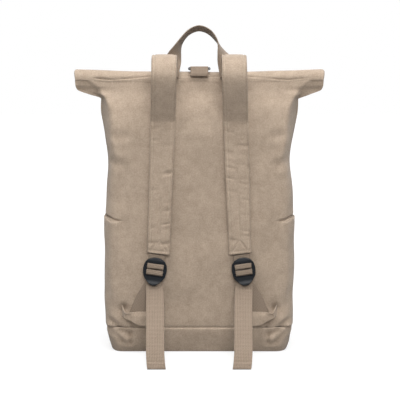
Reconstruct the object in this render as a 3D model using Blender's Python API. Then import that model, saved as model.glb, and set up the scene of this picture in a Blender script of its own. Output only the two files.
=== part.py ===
"""Rolltop backpack in canvas, standing on its base.

Metres, +Z up. The padded shoulder straps hang on the back wall, which faces -Y.
The origin is the middle of the base's underside. Left is the -X side.
"""
import math

import bmesh
import bpy
from mathutils import Vector

# Cloth, webbing and the clearances between pieces
CANVAS = 0.0015            # wall of the bag
WEBBING_WIDTH = 0.025
WEBBING = 0.0016           # thickness of the webbing
GAP = 0.0003               # between pieces that touch

# Bag body
BODY_WIDTH = 0.286
BODY_DEPTH = 0.116
BODY_HEIGHT = 0.4255       # floor to the top of the roll, at the middle
BASE_HEIGHT = 0.0395       # floor to the seam of the boxed base
BASE_TUCK = 0.0095         # how far the base draws in from its seam to the floor
SEAM_INSET = 0.025         # side seams, in from the side of the body
CORNER_RADIUS = 0.030
FRONT_CROWN = 0.008        # how far the front wall bulges between its seams

# Rolled mouth
ROLL_LENGTH = 0.374        # tip to tip
ROLL_HEIGHT = 0.031
ROLL_THICKNESS = 0.028
ROLL_OFFSET = 0.022        # middle of the roll, back from the middle of the bag
ROLL_TURNS = 1.9
ROLL_LAYERS_GAP = 0.0006   # between the two walls where the mouth lies flat
HORN_RISE = 0.003          # how far the tips of the roll stand above its middle

# Side pockets
POCKET_TOP = 0.2075
POCKET_SLACK = 0.0022      # how far the mouth stands off the side wall

# Shoulder straps
STRAP_WIDTH_TOP = 0.0370
STRAP_WIDTH_END = 0.0340
STRAP_THICKNESS = 0.005
STRAP_EDGE = 0.002         # rounding of its two long edges
STRAP_X_SEAM = 0.0510      # middle of the strap at the seam, from the middle of the bag
STRAP_X_TOP = 0.0542       # the same where the arch comes back to the wall
STRAP_X_END = 0.0612
ARCH_RISE = 0.0305         # seam to the top of the arch
ARCH_REACH = 0.056         # how far the arch stands out
ARCH_DROP = 0.066          # seam down to where the arch comes back to the wall
STRAP_END = 0.1535         # height of the lower end

# Ladder-lock buckles
BUCKLE_LENGTH = 0.041
BUCKLE_WIDTH = 0.0343
BUCKLE_THICKNESS = 0.005   # at the thickest part of its top edge
BUCKLE_BEVEL = 0.3         # share of the plate's thickness
BUCKLE_TILT = math.radians(8.3)
BUCKLE_SHIFT = 0.0020      # buckle's axis, outward from the middle of the strap's end
ANCHOR_SHOW = 0.0060       # webbing that shows between strap and buckle
BUCKLE_STANDOFF = 0.0045   # back wall to the plane behind the buckle
BAR_HEIGHT = 0.0035
BAR_THICKNESS = 0.0024
BAR_UPPER = 0.0290         # middle of each bar, up from the buckle's tip
BAR_LOWER = 0.0190
WINDOW_BOTTOM = 0.0112
WINDOW_TOP = 0.0334

# Adjuster webbing and its corner tab
TAIL_REACH = 0.0945        # tail's end, out from the back wall
TAIL_X_END = 0.0612
TAB_LENGTH = 0.0385
TAB_HEIGHT = 0.035         # above the base seam

# Carry handle
HANDLE_FOOT_X = 0.0435
HANDLE_RISE = 0.0765       # seam to the crown, along its leaning plane
HANDLE_LEAN = math.radians(16)
HANDLE_THICKNESS = 0.002

# Closure on top and in front
CLASP_WIRE = 0.0032
CLASP_LENGTH = 0.025       # between the middles of its two bars
CLASP_LIFT = 0.005         # middle of the bars, above the roll
CLASP_INSET = 0.002        # middle of the back bar, in from the back of the roll
CLOSURE_LENGTH = 0.124     # of the strap that lies on the front wall
CLOSURE_TOUCH = 0.843      # share of the tube's height where the strap comes to the wall

# Loop of one cross section: segments in half a wall, in each corner and beside it
WALL_SEGMENTS = 4
CORNER_SEGMENTS = 3
ROLL_STEP = math.radians(30)
SEAM_STEPS = 1             # the straps' seam lies this many steps up the roll
WIRE_SEGMENTS = 8
BEND_SEGMENTS = 3
SHARP_EDGE = math.radians(40)

# Values worked out from the sizes above
STACK = 2 * CANVAS + ROLL_LAYERS_GAP
ROLL_Z = BODY_HEIGHT - ROLL_HEIGHT / 2
ROLL_BACK = -ROLL_OFFSET - ROLL_THICKNESS / 2
WALL_BACK = -BODY_DEPTH / 2
SEAM_X = BODY_WIDTH / 2 - SEAM_INSET
TUBE_HEIGHT = ROLL_Z - BASE_HEIGHT
SEAM_Z = ROLL_Z + ROLL_HEIGHT / 2 * math.sin(SEAM_STEPS * ROLL_STEP)
CLOSURE_TOP = BASE_HEIGHT + TUBE_HEIGHT * CLOSURE_TOUCH
QUARTER = WALL_SEGMENTS + 1 + CORNER_SEGMENTS + 1

# One row for each section of the tube, from the base seam up to the roll.
# height: share of the tube's height.      width: share of the body's width.
# spread: from that width to the roll's.   lean: back wall towards the roll's back.
# close: front wall towards the back wall. side, deep: corner, as shares of its radius
# along X and Y.                           tuck: tips drawn in, share of the roll.
# rise: share of the tips' rise.
TUBE_COLUMNS = ("height", "width", "spread", "lean", "close", "side", "deep", "tuck", "rise")
TUBE = [
    (0.000, 1.000, 0.00, 0.00, 0.00, 0.80, 0.9, 0.00, 0.0),
    (0.082, 1.000, 0.00, -0.03, -0.02, 0.80, 0.9, 0.00, 0.0),
    (0.204, 1.000, 0.00, -0.07, -0.04, 0.80, 1.0, 0.00, 0.0),
    (0.325, 1.000, 0.00, -0.09, -0.05, 0.80, 1.0, 0.00, 0.0),
    (0.452, 1.000, 0.00, -0.07, -0.05, 0.80, 1.0, 0.00, 0.0),
    (0.568, 0.992, 0.00, -0.03, -0.03, 0.75, 1.1, 0.00, 0.0),
    (0.684, 0.971, 0.00, 0.00, 0.03, 0.66, 1.2, 0.00, 0.0),
    (0.771, 1.004, 0.00, 0.07, 0.12, 0.52, 1.4, 0.00, 0.0),
    (0.843, 1.029, 0.00, 0.22, 0.28, 0.44, 1.4, 0.00, 0.1),
    (0.897, 1.039, 0.00, 0.45, 0.47, 0.40, 1.4, 0.00, 0.3),
    (0.930, 1.038, 0.00, 0.66, 0.66, 0.37, 1.4, 0.00, 0.5),
    (0.947, 1.038, 0.43, 0.78, 0.79, 0.73, 1.4, 0.00, 0.7),
    (0.965, 1.038, 0.93, 0.89, 0.965, 0.10, 0.1, 0.20, 0.9),
    (0.9825, 1.038, 0.985, 0.95, 0.99, 0.10, 0.1, 0.04, 0.95),
    (1.000, 1.038, 1.00, 1.00, 1.00, 0.10, 0.1, 0.00, 1.0),
]

# One row for each section of the boxed base, from its seam down to the floor.
BASE_COLUMNS = ("height", "tuck")
BASE = [(1.00, 0.00), (0.66, 0.14), (0.34, 0.38), (0.12, 0.66), (0.03, 0.80), (0.0, 0.92)]

# Strap over its arch: reach and rise above the seam, then reach and drop below it.
ARCH_COLUMNS = ("reach", "rise", "drop")
ARCH = [
    (0.00, 0.00, 0.00), (0.01, 0.30, 0.00), (0.05, 0.64, 0.00), (0.17, 0.91, 0.00),
    (0.35, 1.00, 0.00), (0.55, 0.97, 0.00), (0.74, 0.82, 0.00), (0.90, 0.53, 0.00),
    (0.98, 0.18, 0.00), (0.98, 0.00, 0.06), (0.92, 0.00, 0.20), (0.83, 0.00, 0.34),
    (0.72, 0.00, 0.48), (0.60, 0.00, 0.62), (0.48, 0.00, 0.76), (0.38, 0.00, 0.89),
]

# Strap down the back wall: shares of the way from the arch's foot to the strap's end.
# It comes to lie on the wall at the third of them.
STRAP_RUN = [0.0, 0.06, 0.2, 0.4, 0.6, 0.8, 1.0]

# Half of the handle, from its foot to its crown: share of the foot's x, share of the
# rise, and the twist from flat against the seam to edge on.
HANDLE_COLUMNS = ("x", "rise", "twist")
HANDLE = [
    (1.00, 0.00, 0), (0.97, 0.12, 0), (0.93, 0.25, 6), (0.87, 0.39, 28), (0.80, 0.50, 52),
    (0.735, 0.60, 70), (0.66, 0.70, 82), (0.55, 0.80, 88), (0.40, 0.90, 90),
    (0.21, 0.97, 90), (0.00, 1.00, 90),
]

# Buckle from its tip to its top: share of the length, share of half the width, and the
# lower and upper faces above the plane behind it, as shares of the thickness.
BUCKLE_COLUMNS = ("length", "width", "low", "high")
BUCKLE = [
    (0.00, 0.12, 0.52, 0.84), (0.02, 0.24, 0.42, 0.88), (0.08, 0.43, 0.30, 0.84),
    (0.18, 0.67, 0.18, 0.80), (0.28, 0.85, 0.08, 0.84), (0.42, 0.96, 0.06, 0.88),
    (0.58, 1.00, 0.06, 0.92), (0.72, 0.97, 0.06, 0.96), (0.82, 0.88, 0.06, 1.00),
    (0.91, 0.69, 0.06, 0.96), (0.97, 0.42, 0.06, 0.84), (1.00, 0.16, 0.06, 0.72),
]

# Corner tab from the side seam inwards: share of the length, upper and lower edge as
# shares of the height above the base seam, and how far it is lifted over the webbing.
TAB_COLUMNS = ("length", "top", "bottom", "lift")
TAB = [
    (0.00, 1.00, 0.53, 0.0), (0.16, 0.69, 0.44, 1.0), (0.42, 0.71, 0.29, 1.0),
    (0.66, 0.73, 0.14, 1.0), (1.00, 0.73, 0.11, 1.0),
]

# Tail below the buckle: share of the reach, share of the drop to the floor, and share of
# the way from the x of the buckle's slot to the x of the tail's end.
TAIL_COLUMNS = ("reach", "drop", "inward")
TAIL = [
    (0.001, 0.05, 0.08), (0.014, 0.11, 0.16), (0.06, 0.17, 0.22), (0.15, 0.27, 0.30),
    (0.30, 0.40, 0.38), (0.49, 0.55, 0.48), (0.68, 0.70, 0.56), (0.85, 0.84, 0.66),
    (0.96, 0.95, 0.85), (1.00, 1.00, 1.00),
]


def named(columns, row):
    """One row of a table, by the names of its columns."""
    return dict(zip(columns, row))


def mix(a, b, share):
    return a + (b - a) * share


def ease(share):
    share = min(max(share, 0.0), 1.0)
    return share * share * (3 - 2 * share)


def material(name, color, roughness):
    made = bpy.data.materials.new(name)
    made.use_nodes = True
    shader = made.node_tree.nodes["Principled BSDF"]
    shader.inputs["Base Color"].default_value = (*color, 1.0)
    shader.inputs["Roughness"].default_value = roughness
    shader.inputs["Metallic"].default_value = 0.0
    return made


def finish(name, bm, mat):
    """Turn a closed bmesh into a named object with smooth round faces."""
    bmesh.ops.recalc_face_normals(bm, faces=bm.faces)
    mesh = bpy.data.meshes.new(name)
    bm.to_mesh(mesh)
    bm.free()
    mesh.shade_smooth()
    mesh.set_sharp_from_angle(angle=SHARP_EDGE)
    mesh.materials.append(mat)
    made = bpy.data.objects.new(name, mesh)
    bpy.context.collection.objects.link(made)
    return made


def quads(bm, first, second, closed):
    """Quads between two rows of vertices."""
    count = len(first)
    for j in range(count if closed else count - 1):
        k = (j + 1) % count
        bm.faces.new((first[j], first[k], second[k], second[j]))


def shell(name, outer, inner, closed, mat):
    """Cloth wall between an outer and an inner grid of points, closed round or open."""
    bm = bmesh.new()
    skins = [[[bm.verts.new(p) for p in row] for row in grid] for grid in (outer, inner)]
    for rows in skins:
        for low, high in zip(rows, rows[1:]):
            quads(bm, low, high, closed)
    for end in (0, -1):
        quads(bm, skins[0][end], skins[1][end], closed)
    if not closed:
        for side in (0, -1):
            edges = [[row[side] for row in rows] for rows in skins]
            quads(bm, edges[0], edges[1], False)
    return finish(name, bm, mat)


def loft(name, rings, mat, ring=False):
    """Solid through a row of closed rings, capped at both ends or joined into a ring."""
    bm = bmesh.new()
    rows = [[bm.verts.new(p) for p in ring] for ring in rings]
    for low, high in zip(rows, rows[1:]):
        quads(bm, low, high, True)
    if ring:
        quads(bm, rows[-1], rows[0], True)
    else:
        bm.faces.new(rows[0])
        bm.faces.new(rows[-1])
    return finish(name, bm, mat)


def smooth_path(points, steps):
    """Catmull-Rom curve through points of any dimension."""
    points = [Vector(p) for p in points]
    ends = [2 * points[0] - points[1]] + points + [2 * points[-1] - points[-2]]
    curve = []
    for a, b, c, d in zip(ends, ends[1:], ends[2:], ends[3:]):
        for k in range(steps):
            t = k / steps
            curve.append(0.5 * (2 * b + (c - a) * t + (2 * a - 5 * b + 4 * c - d) * t * t
                                + (3 * b - a - 3 * c + d) * t ** 3))
    return curve + [points[-1]]


def tangents(path):
    last = len(path) - 1
    return [(path[min(i + 1, last)] - path[max(i - 1, 0)]).normalized()
            for i in range(last + 1)]


def band_rings(path, across, widths, thickness, edge=0.0):
    """Rings of a flat band along a path. edge rounds its two long edges."""
    rings = []
    for point, way, side, width in zip(path, tangents(path), across, widths):
        side = side.normalized()
        face = way.cross(side).normalized()
        half = width / 2
        rise = thickness / 2
        if edge:
            lip = 0.35 * rise
            flat = half - edge
            outline = [(-half, -lip), (-flat, -rise), (flat, -rise), (half, -lip),
                       (half, lip), (flat, rise), (-flat, rise), (-half, lip)]
        else:
            outline = [(-half, -rise), (half, -rise), (half, rise), (-half, rise)]
        rings.append([point + side * a + face * b for a, b in outline])
    return rings


def mirrored(points, side):
    """Points given for the left side, on the left (-1) or the right (1)."""
    return [Vector((-side * p.x, p.y, p.z)) for p in points]


# The bag's walls

def section(half_width, back, front, crown, corner_x, corner_y):
    """One closed loop of the bag, from the middle of the back wall towards +X."""
    cheek = front - crown
    middle = (back + cheek) / 2
    deep = min(corner_y, 0.94 * (cheek - back) / 2)
    wide = min(corner_x, 0.98 * (half_width - SEAM_X))
    back_part = [(SEAM_X * i / WALL_SEGMENTS, back) for i in range(WALL_SEGMENTS + 1)]
    front_part = [(x, front - crown * (x / SEAM_X) ** 2) for x, _ in back_part]
    turn = [math.pi / 2 * k / CORNER_SEGMENTS for k in range(CORNER_SEGMENTS + 1)]
    corner = [(half_width - wide * (1 - math.sin(a)), deep * (1 - math.cos(a))) for a in turn]
    right = back_part + [(x, back + y) for x, y in corner] + [(half_width, middle)]
    right += [(x, cheek - y) for x, y in reversed(corner)] + list(reversed(front_part))
    left = [(-x, y) for x, y in reversed(right[1:-1])]
    return right + left


def tube_row(row):
    """Sizes of the tube at one row of its table."""
    half_width = mix(row["width"] * BODY_WIDTH / 2, ROLL_LENGTH / 2, row["spread"])
    back = mix(WALL_BACK, ROLL_BACK, row["lean"])
    front = mix(BODY_DEPTH / 2, back + STACK, row["close"])
    crown = FRONT_CROWN * max(0.0, 1 - row["close"] * 1.1)
    z = BASE_HEIGHT + TUBE_HEIGHT * row["height"]
    return half_width, back, front, crown, z


def tube_loop(row):
    half_width, back, front, crown, z = tube_row(row)
    flat = section(half_width, back, front, crown,
                   CORNER_RADIUS * row["side"], CORNER_RADIUS * row["deep"])
    loop = []
    for x, y in flat:
        outer = ease((abs(x) - SEAM_X) / (half_width - SEAM_X))
        y += ROLL_THICKNESS * row["tuck"] * outer
        loop.append(Vector((x, y, z + HORN_RISE * row["rise"] * (abs(x) / half_width) ** 3)))
    return loop


def roll_loop(turn):
    """The flattened tube at one angle of the roll: 0 at its back, a quarter turn on top."""
    pitch = (STACK + GAP) * turn / (2 * math.pi)
    half_y = ROLL_THICKNESS / 2 - STACK / 2 - pitch
    half_z = ROLL_HEIGHT / 2 - STACK / 2 - pitch
    middle = Vector((0, -ROLL_OFFSET - half_y * math.cos(turn), ROLL_Z + half_z * math.sin(turn)))
    out = Vector((0, -math.cos(turn) / half_y, math.sin(turn) / half_z)).normalized()
    half_width = ROLL_LENGTH / 2
    flat = section(half_width, -STACK / 2, STACK / 2, 0, STACK / 2, STACK / 2)
    return [middle + Vector((x, 0, HORN_RISE * (abs(x) / half_width) ** 3)) - out * t
            for x, t in flat]


def wall_grid():
    """Outer and inner points of the whole cloth, from the base seam to the mouth."""
    outer = [tube_loop(named(TUBE_COLUMNS, row)) for row in TUBE]
    steps = round(ROLL_TURNS * 2 * math.pi / ROLL_STEP)
    outer += [roll_loop(k * ROLL_STEP) for k in range(1, steps + 1)]
    last = len(outer) - 1
    count = len(outer[0])
    inner = []
    for i, loop in enumerate(outer):
        below = outer[max(i - 1, 0)]
        above = outer[min(i + 1, last)]
        row = []
        for j, point in enumerate(loop):
            along = loop[(j + 1) % count] - loop[j - 1]
            normal = along.cross(above[j] - below[j]).normalized()
            row.append(point - normal * CANVAS)
        inner.append(row)
    return outer, inner


def between(low, high, share):
    return [a.lerp(b, share) for a, b in zip(low, high)]


def trimmed(row):
    """A row of a wall, half a gap short of its seams at both ends."""
    first = row[0] + (row[1] - row[0]).normalized() * GAP / 2
    last = row[-1] + (row[-2] - row[-1]).normalized() * GAP / 2
    return [first] + row[1:-1] + [last]


def build_walls(outer, inner, mat):
    """The four walls up to the straps' seam, and the rolled mouth above it."""
    seam = len(TUBE) - 1 + SEAM_STEPS
    count = len(outer[0])
    front_seam = 2 * QUARTER - WALL_SEGMENTS
    spans = {
        "back_panel": (-WALL_SEGMENTS, WALL_SEGMENTS),
        "side_panel_right": (WALL_SEGMENTS, front_seam),
        "front_panel": (front_seam, front_seam + 2 * WALL_SEGMENTS),
        "side_panel_left": (front_seam + 2 * WALL_SEGMENTS, count - WALL_SEGMENTS),
    }
    for name, (start, stop) in spans.items():
        grids = []
        for grid in (outer, inner):
            rows = [[p.copy() for p in loop] for loop in grid[:seam + 1]]
            for p in rows[0]:
                p.z += GAP
            grids.append([trimmed([row[j % count] for j in range(start, stop + 1)])
                          for row in rows])
        shell(name, grids[0], grids[1], False, mat)
    first = GAP / (outer[seam + 1][0] - outer[seam][0]).length
    rolls = [[between(grid[seam], grid[seam + 1], first)] + grid[seam + 1:]
             for grid in (outer, inner)]
    shell("roll_top", rolls[0], rolls[1], True, mat)


def build_base(mat):
    """Boxed base: a tray whose flat underside is the face that the bag rests on."""
    top = named(TUBE_COLUMNS, TUBE[0])
    half_width, back, front, crown, _ = tube_row(top)
    skins = []
    for wall in (0.0, CANVAS):
        rows = []
        for row in BASE:
            share = named(BASE_COLUMNS, row)
            inset = BASE_TUCK * share["tuck"] + wall
            flat = section(half_width - inset, back + inset, front - inset, crown,
                           CORNER_RADIUS * top["side"] - wall, CORNER_RADIUS * top["deep"] - wall)
            z = max(BASE_HEIGHT * share["height"], wall)
            rows.append([Vector((x, y, z)) for x, y in flat])
        skins.append(rows)
    floor_row = skins[1].pop()
    skins[1] = [row for row in skins[1] if row[0].z > 2 * CANVAS] + [floor_row]
    bm = bmesh.new()
    made = [[[bm.verts.new(p) for p in row] for row in rows] for rows in skins]
    for rows in made:
        for high, low in zip(rows, rows[1:]):
            quads(bm, high, low, True)
        bm.faces.new(rows[-1])
    quads(bm, made[0][0], made[1][0], True)
    finish("base_panel", bm, mat)


def face_at(outer, column, z):
    """Point of the outer cloth in one column of the loop, at a height of the tube."""
    for low, high in zip(outer, outer[1:]):
        if low[column].z <= z <= high[column].z:
            share = (z - low[column].z) / (high[column].z - low[column].z)
            return low[column].lerp(high[column], share)
    return outer[0][column].copy()


def build_pocket(name, outer, start, stop, mat):
    """Slip pocket over one side wall, from the base seam to its level mouth."""
    rows = [i for i in range(len(TUBE)) if outer[i][0].z < POCKET_TOP - 2 * CANVAS]
    heights = [outer[i][0].z for i in rows] + [POCKET_TOP]
    skins = ([], [])
    for z in heights:
        loop = [face_at(outer, j % len(outer[0]), z) for j in range(start - 1, stop + 2)]
        rise = (z - BASE_HEIGHT) / (POCKET_TOP - BASE_HEIGHT)
        near, far = [], []
        for j in range(1, len(loop) - 1):
            along = loop[j + 1] - loop[j - 1]
            normal = along.cross(Vector((0, 0, 1))).normalized()
            across = math.sin(math.pi * (j - 1) / (len(loop) - 3))
            stand = GAP * 1.5 + POCKET_SLACK * rise ** 2 * across
            near.append(loop[j] + normal * stand)
            far.append(loop[j] + normal * (stand + CANVAS))
        skins[0].append(far)
        skins[1].append(near)
    for skin in skins:
        for p in skin[0]:
            p.z += GAP
    shell(name, skins[0], skins[1], False, mat)


def back_face(outer, z):
    """Y of the back wall's outer face at a height."""
    return face_at(outer, 0, z).y


# Shoulder straps, their buckles and the webbing, all laid out for the left side

def strap_line(outer):
    """Middle line of the strap, its width at each point, and the two ends of its taper."""
    start = ROLL_BACK - GAP - HANDLE_THICKNESS - GAP - STRAP_THICKNESS / 2
    points = []
    for row in ARCH:
        share = named(ARCH_COLUMNS, row)
        points.append((-mix(STRAP_X_SEAM, STRAP_X_TOP, share["drop"]),
                       start - ARCH_REACH * share["reach"],
                       SEAM_Z + ARCH_RISE * share["rise"] - ARCH_DROP * share["drop"]))
    foot = SEAM_Z - ARCH_DROP
    lie = 2 * GAP + STRAP_THICKNESS / 2
    for share in STRAP_RUN:
        z = mix(foot, STRAP_END, share)
        lift = STRAP_THICKNESS * 0.5 * (1 - ease(share / STRAP_RUN[2]))
        points.append((-mix(STRAP_X_TOP, STRAP_X_END, share), back_face(outer, z) - lie - lift, z))
    path = smooth_path(points, 2)
    widths = []
    for p in path:
        if p.z < foot:
            p.y = min(p.y, back_face(outer, p.z) - lie)
        share = ease((foot - p.z) / (foot - STRAP_END))
        widths.append(mix(STRAP_WIDTH_TOP, STRAP_WIDTH_END, share))
    return path, widths


def buckle_place(outer):
    """Function from the buckle's own u, v, w to the bag's frame, on the left side."""
    up = Vector((math.sin(BUCKLE_TILT), 0, math.cos(BUCKLE_TILT)))
    across = Vector((math.cos(BUCKLE_TILT), 0, -math.sin(BUCKLE_TILT)))
    plane = back_face(outer, STRAP_END) - BUCKLE_STANDOFF
    end = Vector((-STRAP_X_END - BUCKLE_SHIFT, plane, STRAP_END))
    tip = end - up * (ANCHOR_SHOW + BUCKLE_LENGTH)

    def place(u, v, w):
        return tip + across * u + up * v - Vector((0, 1, 0)) * w

    return place, across


def build_buckle(name, side, place, mat):
    """Ladder lock: a tapered plate with three windows, its two bars set back."""
    rings = []
    for row in BUCKLE:
        share = named(BUCKLE_COLUMNS, row)
        half = BUCKLE_WIDTH / 2 * share["width"]
        low, high = (BUCKLE_THICKNESS * share[face] for face in ("low", "high"))
        chamfer = BUCKLE_BEVEL * (high - low)
        ring = [(-half, low), (half, low), (half, high - chamfer), (half - chamfer, high),
                (-half + chamfer, high), (-half, high - chamfer)]
        v = BUCKLE_LENGTH * share["length"]
        rings.append(mirrored([place(u, v, w) for u, w in ring], side))
    body = loft(name, rings, mat)
    half_window = WEBBING_WIDTH / 2 + GAP * 1.5
    upper = BAR_UPPER - BAR_HEIGHT / 2
    lower = BAR_LOWER - BAR_HEIGHT / 2
    far = 2 * BUCKLE_THICKNESS
    windows = [(WINDOW_BOTTOM, lower, -far), (lower + BAR_HEIGHT, upper, -far),
               (upper + BAR_HEIGHT, WINDOW_TOP, -far),
               (WINDOW_BOTTOM, WINDOW_TOP, BAR_THICKNESS + GAP)]
    for k, (low, high, floor) in enumerate(windows):
        corners = [(-half_window, floor), (half_window, floor), (half_window, far),
                   (-half_window, far)]
        rings = [mirrored([place(u, v, w) for u, w in corners], side) for v in (low, high)]
        cutter = loft(f"{name}_window_{k}", rings, mat)
        cutter.hide_render = True
        cutter.display_type = "WIRE"
        cut = body.modifiers.new(f"window_{k}", "BOOLEAN")
        cut.operation = "DIFFERENCE"
        cut.solver = "EXACT"
        cut.object = cutter


def round_bar(bar):
    """Points (v, w) of webbing wrapped over the front of one bar, from above to below."""
    clear = GAP * 1.5 + WEBBING / 2
    middle = GAP + BAR_THICKNESS / 2
    high = BAR_HEIGHT / 2 + clear
    front = middle + BAR_THICKNESS / 2 + clear
    round_off = WEBBING * 0.4
    return [(bar + high, middle - round_off), (bar + high, front - round_off),
            (bar + high - round_off, front), (bar, front), (bar - high + round_off, front),
            (bar - high, front - round_off), (bar - high, middle - round_off)]


def build_anchor(name, side, place, across, mat):
    """Webbing from the strap's end, round the upper bar and back."""
    near = -WEBBING / 2
    far = near - WEBBING - GAP
    top = BUCKLE_LENGTH + ANCHOR_SHOW - 3 * GAP
    line = [(top, near), (WINDOW_TOP + 2 * WEBBING, near), (WINDOW_TOP - 2 * GAP, near + GAP / 2)]
    line += round_bar(BAR_UPPER)
    line += [(BAR_UPPER - BAR_HEIGHT * 0.69, near - WEBBING * 0.25),
             (BAR_UPPER - BAR_HEIGHT * 0.14, far + GAP), (BAR_UPPER + BAR_HEIGHT * 0.71, far),
             (WINDOW_TOP + 2 * WEBBING, far), (top, far)]
    path = mirrored([place(0, v, w) for v, w in line], side)
    level = Vector((1, 0, 0))
    ways = mirrored([level] + [across] * (len(path) - 2) + [level], side)
    rings = band_rings(path, ways, [WEBBING_WIDTH] * len(path), WEBBING)
    loft(name, rings, mat)


def build_adjuster(name, side, outer, place, across, mat):
    """Webbing from the corner tab, over the lower bar and down to the floor."""
    near = -WEBBING / 2
    far = near - WEBBING - GAP
    start = place(0, WINDOW_BOTTOM * 0.17, far)
    low = Vector((-SEAM_X + TAB_LENGTH * 0.52, start.y, BASE_HEIGHT + TAB_HEIGHT * 0.33))
    middle = low.lerp(start, 0.55) + Vector((-1, 0, 1)) * WEBBING * 0.9
    climb = [low, low.lerp(middle, 0.5), middle, middle.lerp(start, 0.6)]
    slant = Vector((start.z - low.z, 0, low.x - start.x)).normalized()
    ways = [slant, slant, slant.lerp(across, 0.25), slant.lerp(across, 0.65)]
    threaded = [(WINDOW_BOTTOM * share, far) for share in (0.17, 0.67, 1.17)]
    threaded += [(BAR_LOWER - BAR_HEIGHT * 0.43, far + GAP * 0.7),
                 (BAR_LOWER + BAR_HEIGHT * 0.66, near - WEBBING * 0.38)]
    threaded += round_bar(BAR_LOWER)
    threaded += [(BAR_LOWER - BAR_HEIGHT * 1.49, near + WEBBING * 0.25),
                 (WINDOW_BOTTOM - GAP * 0.7, near)]
    path = climb + [place(0, v, w) for v, w in threaded]
    ways += [across] * len(threaded)
    slot = path[-1]
    flat = Vector((1, 0, 0))
    floor = WEBBING / 2 * 0.5 + GAP
    for row in TAIL:
        share = named(TAIL_COLUMNS, row)
        path.append(Vector((mix(slot.x, -TAIL_X_END, share["inward"]),
                            slot.y - (TAIL_REACH + slot.y - WALL_BACK) * share["reach"],
                            mix(slot.z, floor, share["drop"]))))
        ways.append(across.lerp(flat, min(1.0, 3 * share["drop"])))
    path = mirrored(path, side)
    ways = mirrored(ways, side)
    loft(name, band_rings(path, ways, [WEBBING_WIDTH] * len(path), WEBBING), mat)


def build_tab(name, side, outer, place, mat):
    """Canvas tab from the side seam over the end of the adjuster webbing."""
    over = place(0, 0, 0).y - GAP
    skins = ([], [])
    for edge in ("bottom", "top"):
        near, far = [], []
        for row in TAB:
            share = named(TAB_COLUMNS, row)
            x = -SEAM_X + 2 * GAP + TAB_LENGTH * share["length"]
            z = BASE_HEIGHT + TAB_HEIGHT * share[edge]
            y = mix(back_face(outer, z) - GAP, over, share["lift"])
            near.append(Vector((x, y, z)))
            far.append(Vector((x, y - CANVAS, z)))
        skins[0].append(mirrored(far, side))
        skins[1].append(mirrored(near, side))
    shell(name, skins[0], skins[1], False, mat)


# Handle and closure

def build_handle(mat):
    """Webbing handle: flat in the seam, twisted edge on over its arch."""
    lean_up = Vector((0, math.sin(HANDLE_LEAN), math.cos(HANDLE_LEAN)))
    lean_out = Vector((0, -math.cos(HANDLE_LEAN), math.sin(HANDLE_LEAN)))
    foot = Vector((0, ROLL_BACK - GAP - HANDLE_THICKNESS / 2, SEAM_Z))
    half = [named(HANDLE_COLUMNS, row) for row in HANDLE]
    rows = [(-r["x"], r["rise"], r["twist"]) for r in half]
    rows += [(-x, rise, 180 - twist) for x, rise, twist in reversed(rows[:-1])]
    points = [(x * HANDLE_FOOT_X, rise * HANDLE_RISE, twist) for x, rise, twist in rows]
    path, twists = [], []
    for x, up, twist in smooth_path(points, 2):
        path.append(foot + Vector((x, 0, 0)) + lean_up * up)
        twists.append(math.radians(twist))
    ways = []
    for way, twist in zip(tangents(path), twists):
        flat = way.cross(lean_out).normalized()
        ways.append(-flat * math.cos(twist) + lean_out * math.sin(twist))
    widths = [WEBBING_WIDTH] * len(path)
    loft("carry_handle", band_rings(path, ways, widths, HANDLE_THICKNESS), mat)


def bar_loop(center, leg, steps=8):
    """Points (y, z) of webbing round a bar, from a leg on the -Y side to the far side."""
    radius = CLASP_WIRE / 2 + GAP + WEBBING / 2
    turns = [math.pi * k / steps for k in range(steps + 1)]
    round_over = [(center[0] - radius * math.cos(a), center[1] + radius * math.sin(a))
                  for a in turns]
    return leg + round_over


def clasp_bars():
    """Middles (y, z) of the clasp's two bars, over the top of the roll."""
    z = BODY_HEIGHT + CLASP_LIFT
    back = (ROLL_BACK + CLASP_INSET, z)
    return back, (back[0] + CLASP_LENGTH, z)


def build_closure(outer, webbing_mat, clasp_mat):
    """Loop in the back seam, clasp over the roll, and the strap down the front wall."""
    back_bar, front_bar = clasp_bars()
    step = WEBBING + GAP * 1.3
    outer_leg = ROLL_BACK - GAP * 2 - WEBBING / 2 - step
    under_bar = back_bar[1] - CLASP_WIRE * 1.25
    aside = WEBBING * 0.75
    seam_end = SEAM_Z - 3 * GAP
    leg = [(outer_leg, seam_end), (outer_leg, SEAM_Z + CLASP_LIFT)]
    line = bar_loop(back_bar, leg)
    inner_leg = outer_leg + step
    line += [(back_bar[0] + aside, under_bar),
             (inner_leg + WEBBING * 0.6, SEAM_Z + CLASP_LIFT * 0.9), (inner_leg, seam_end)]
    band("closure_loop", line, webbing_mat)
    roll_front = -ROLL_OFFSET + ROLL_THICKNESS / 2 - (STACK + GAP) / 2
    main_leg = roll_front + GAP * 2 + WEBBING / 2 + step
    shoulder = ROLL_Z + ROLL_HEIGHT * 0.39
    start = [(main_leg - step, ROLL_Z + ROLL_HEIGHT * 0.2), (main_leg - step, shoulder),
             (front_bar[0] - aside, under_bar)]
    line = bar_loop(front_bar, start)
    line += [(main_leg, shoulder), (main_leg, ROLL_Z - ROLL_HEIGHT * 0.06)]
    lie = GAP * 2 + WEBBING / 2
    end = CLOSURE_TOP - CLOSURE_LENGTH
    heights = [loop[0].z for loop in outer[:len(TUBE)]]
    heights = [z for z in heights if end + lie < z < CLOSURE_TOP - lie]
    for z in [CLOSURE_TOP] + heights[::-1] + [end]:
        line.append((face_at(outer, 2 * QUARTER, z).y + lie, z))
    band("closure_strap", line, webbing_mat)
    build_clasp(back_bar, front_bar, clasp_mat)


def band(name, line, mat):
    """Webbing across the middle of the bag, along points (y, z)."""
    path = [Vector((0, y, z)) for y, z in line]
    ways = [Vector((1, 0, 0))] * len(path)
    loft(name, band_rings(path, ways, [WEBBING_WIDTH] * len(path), WEBBING), mat)


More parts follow.
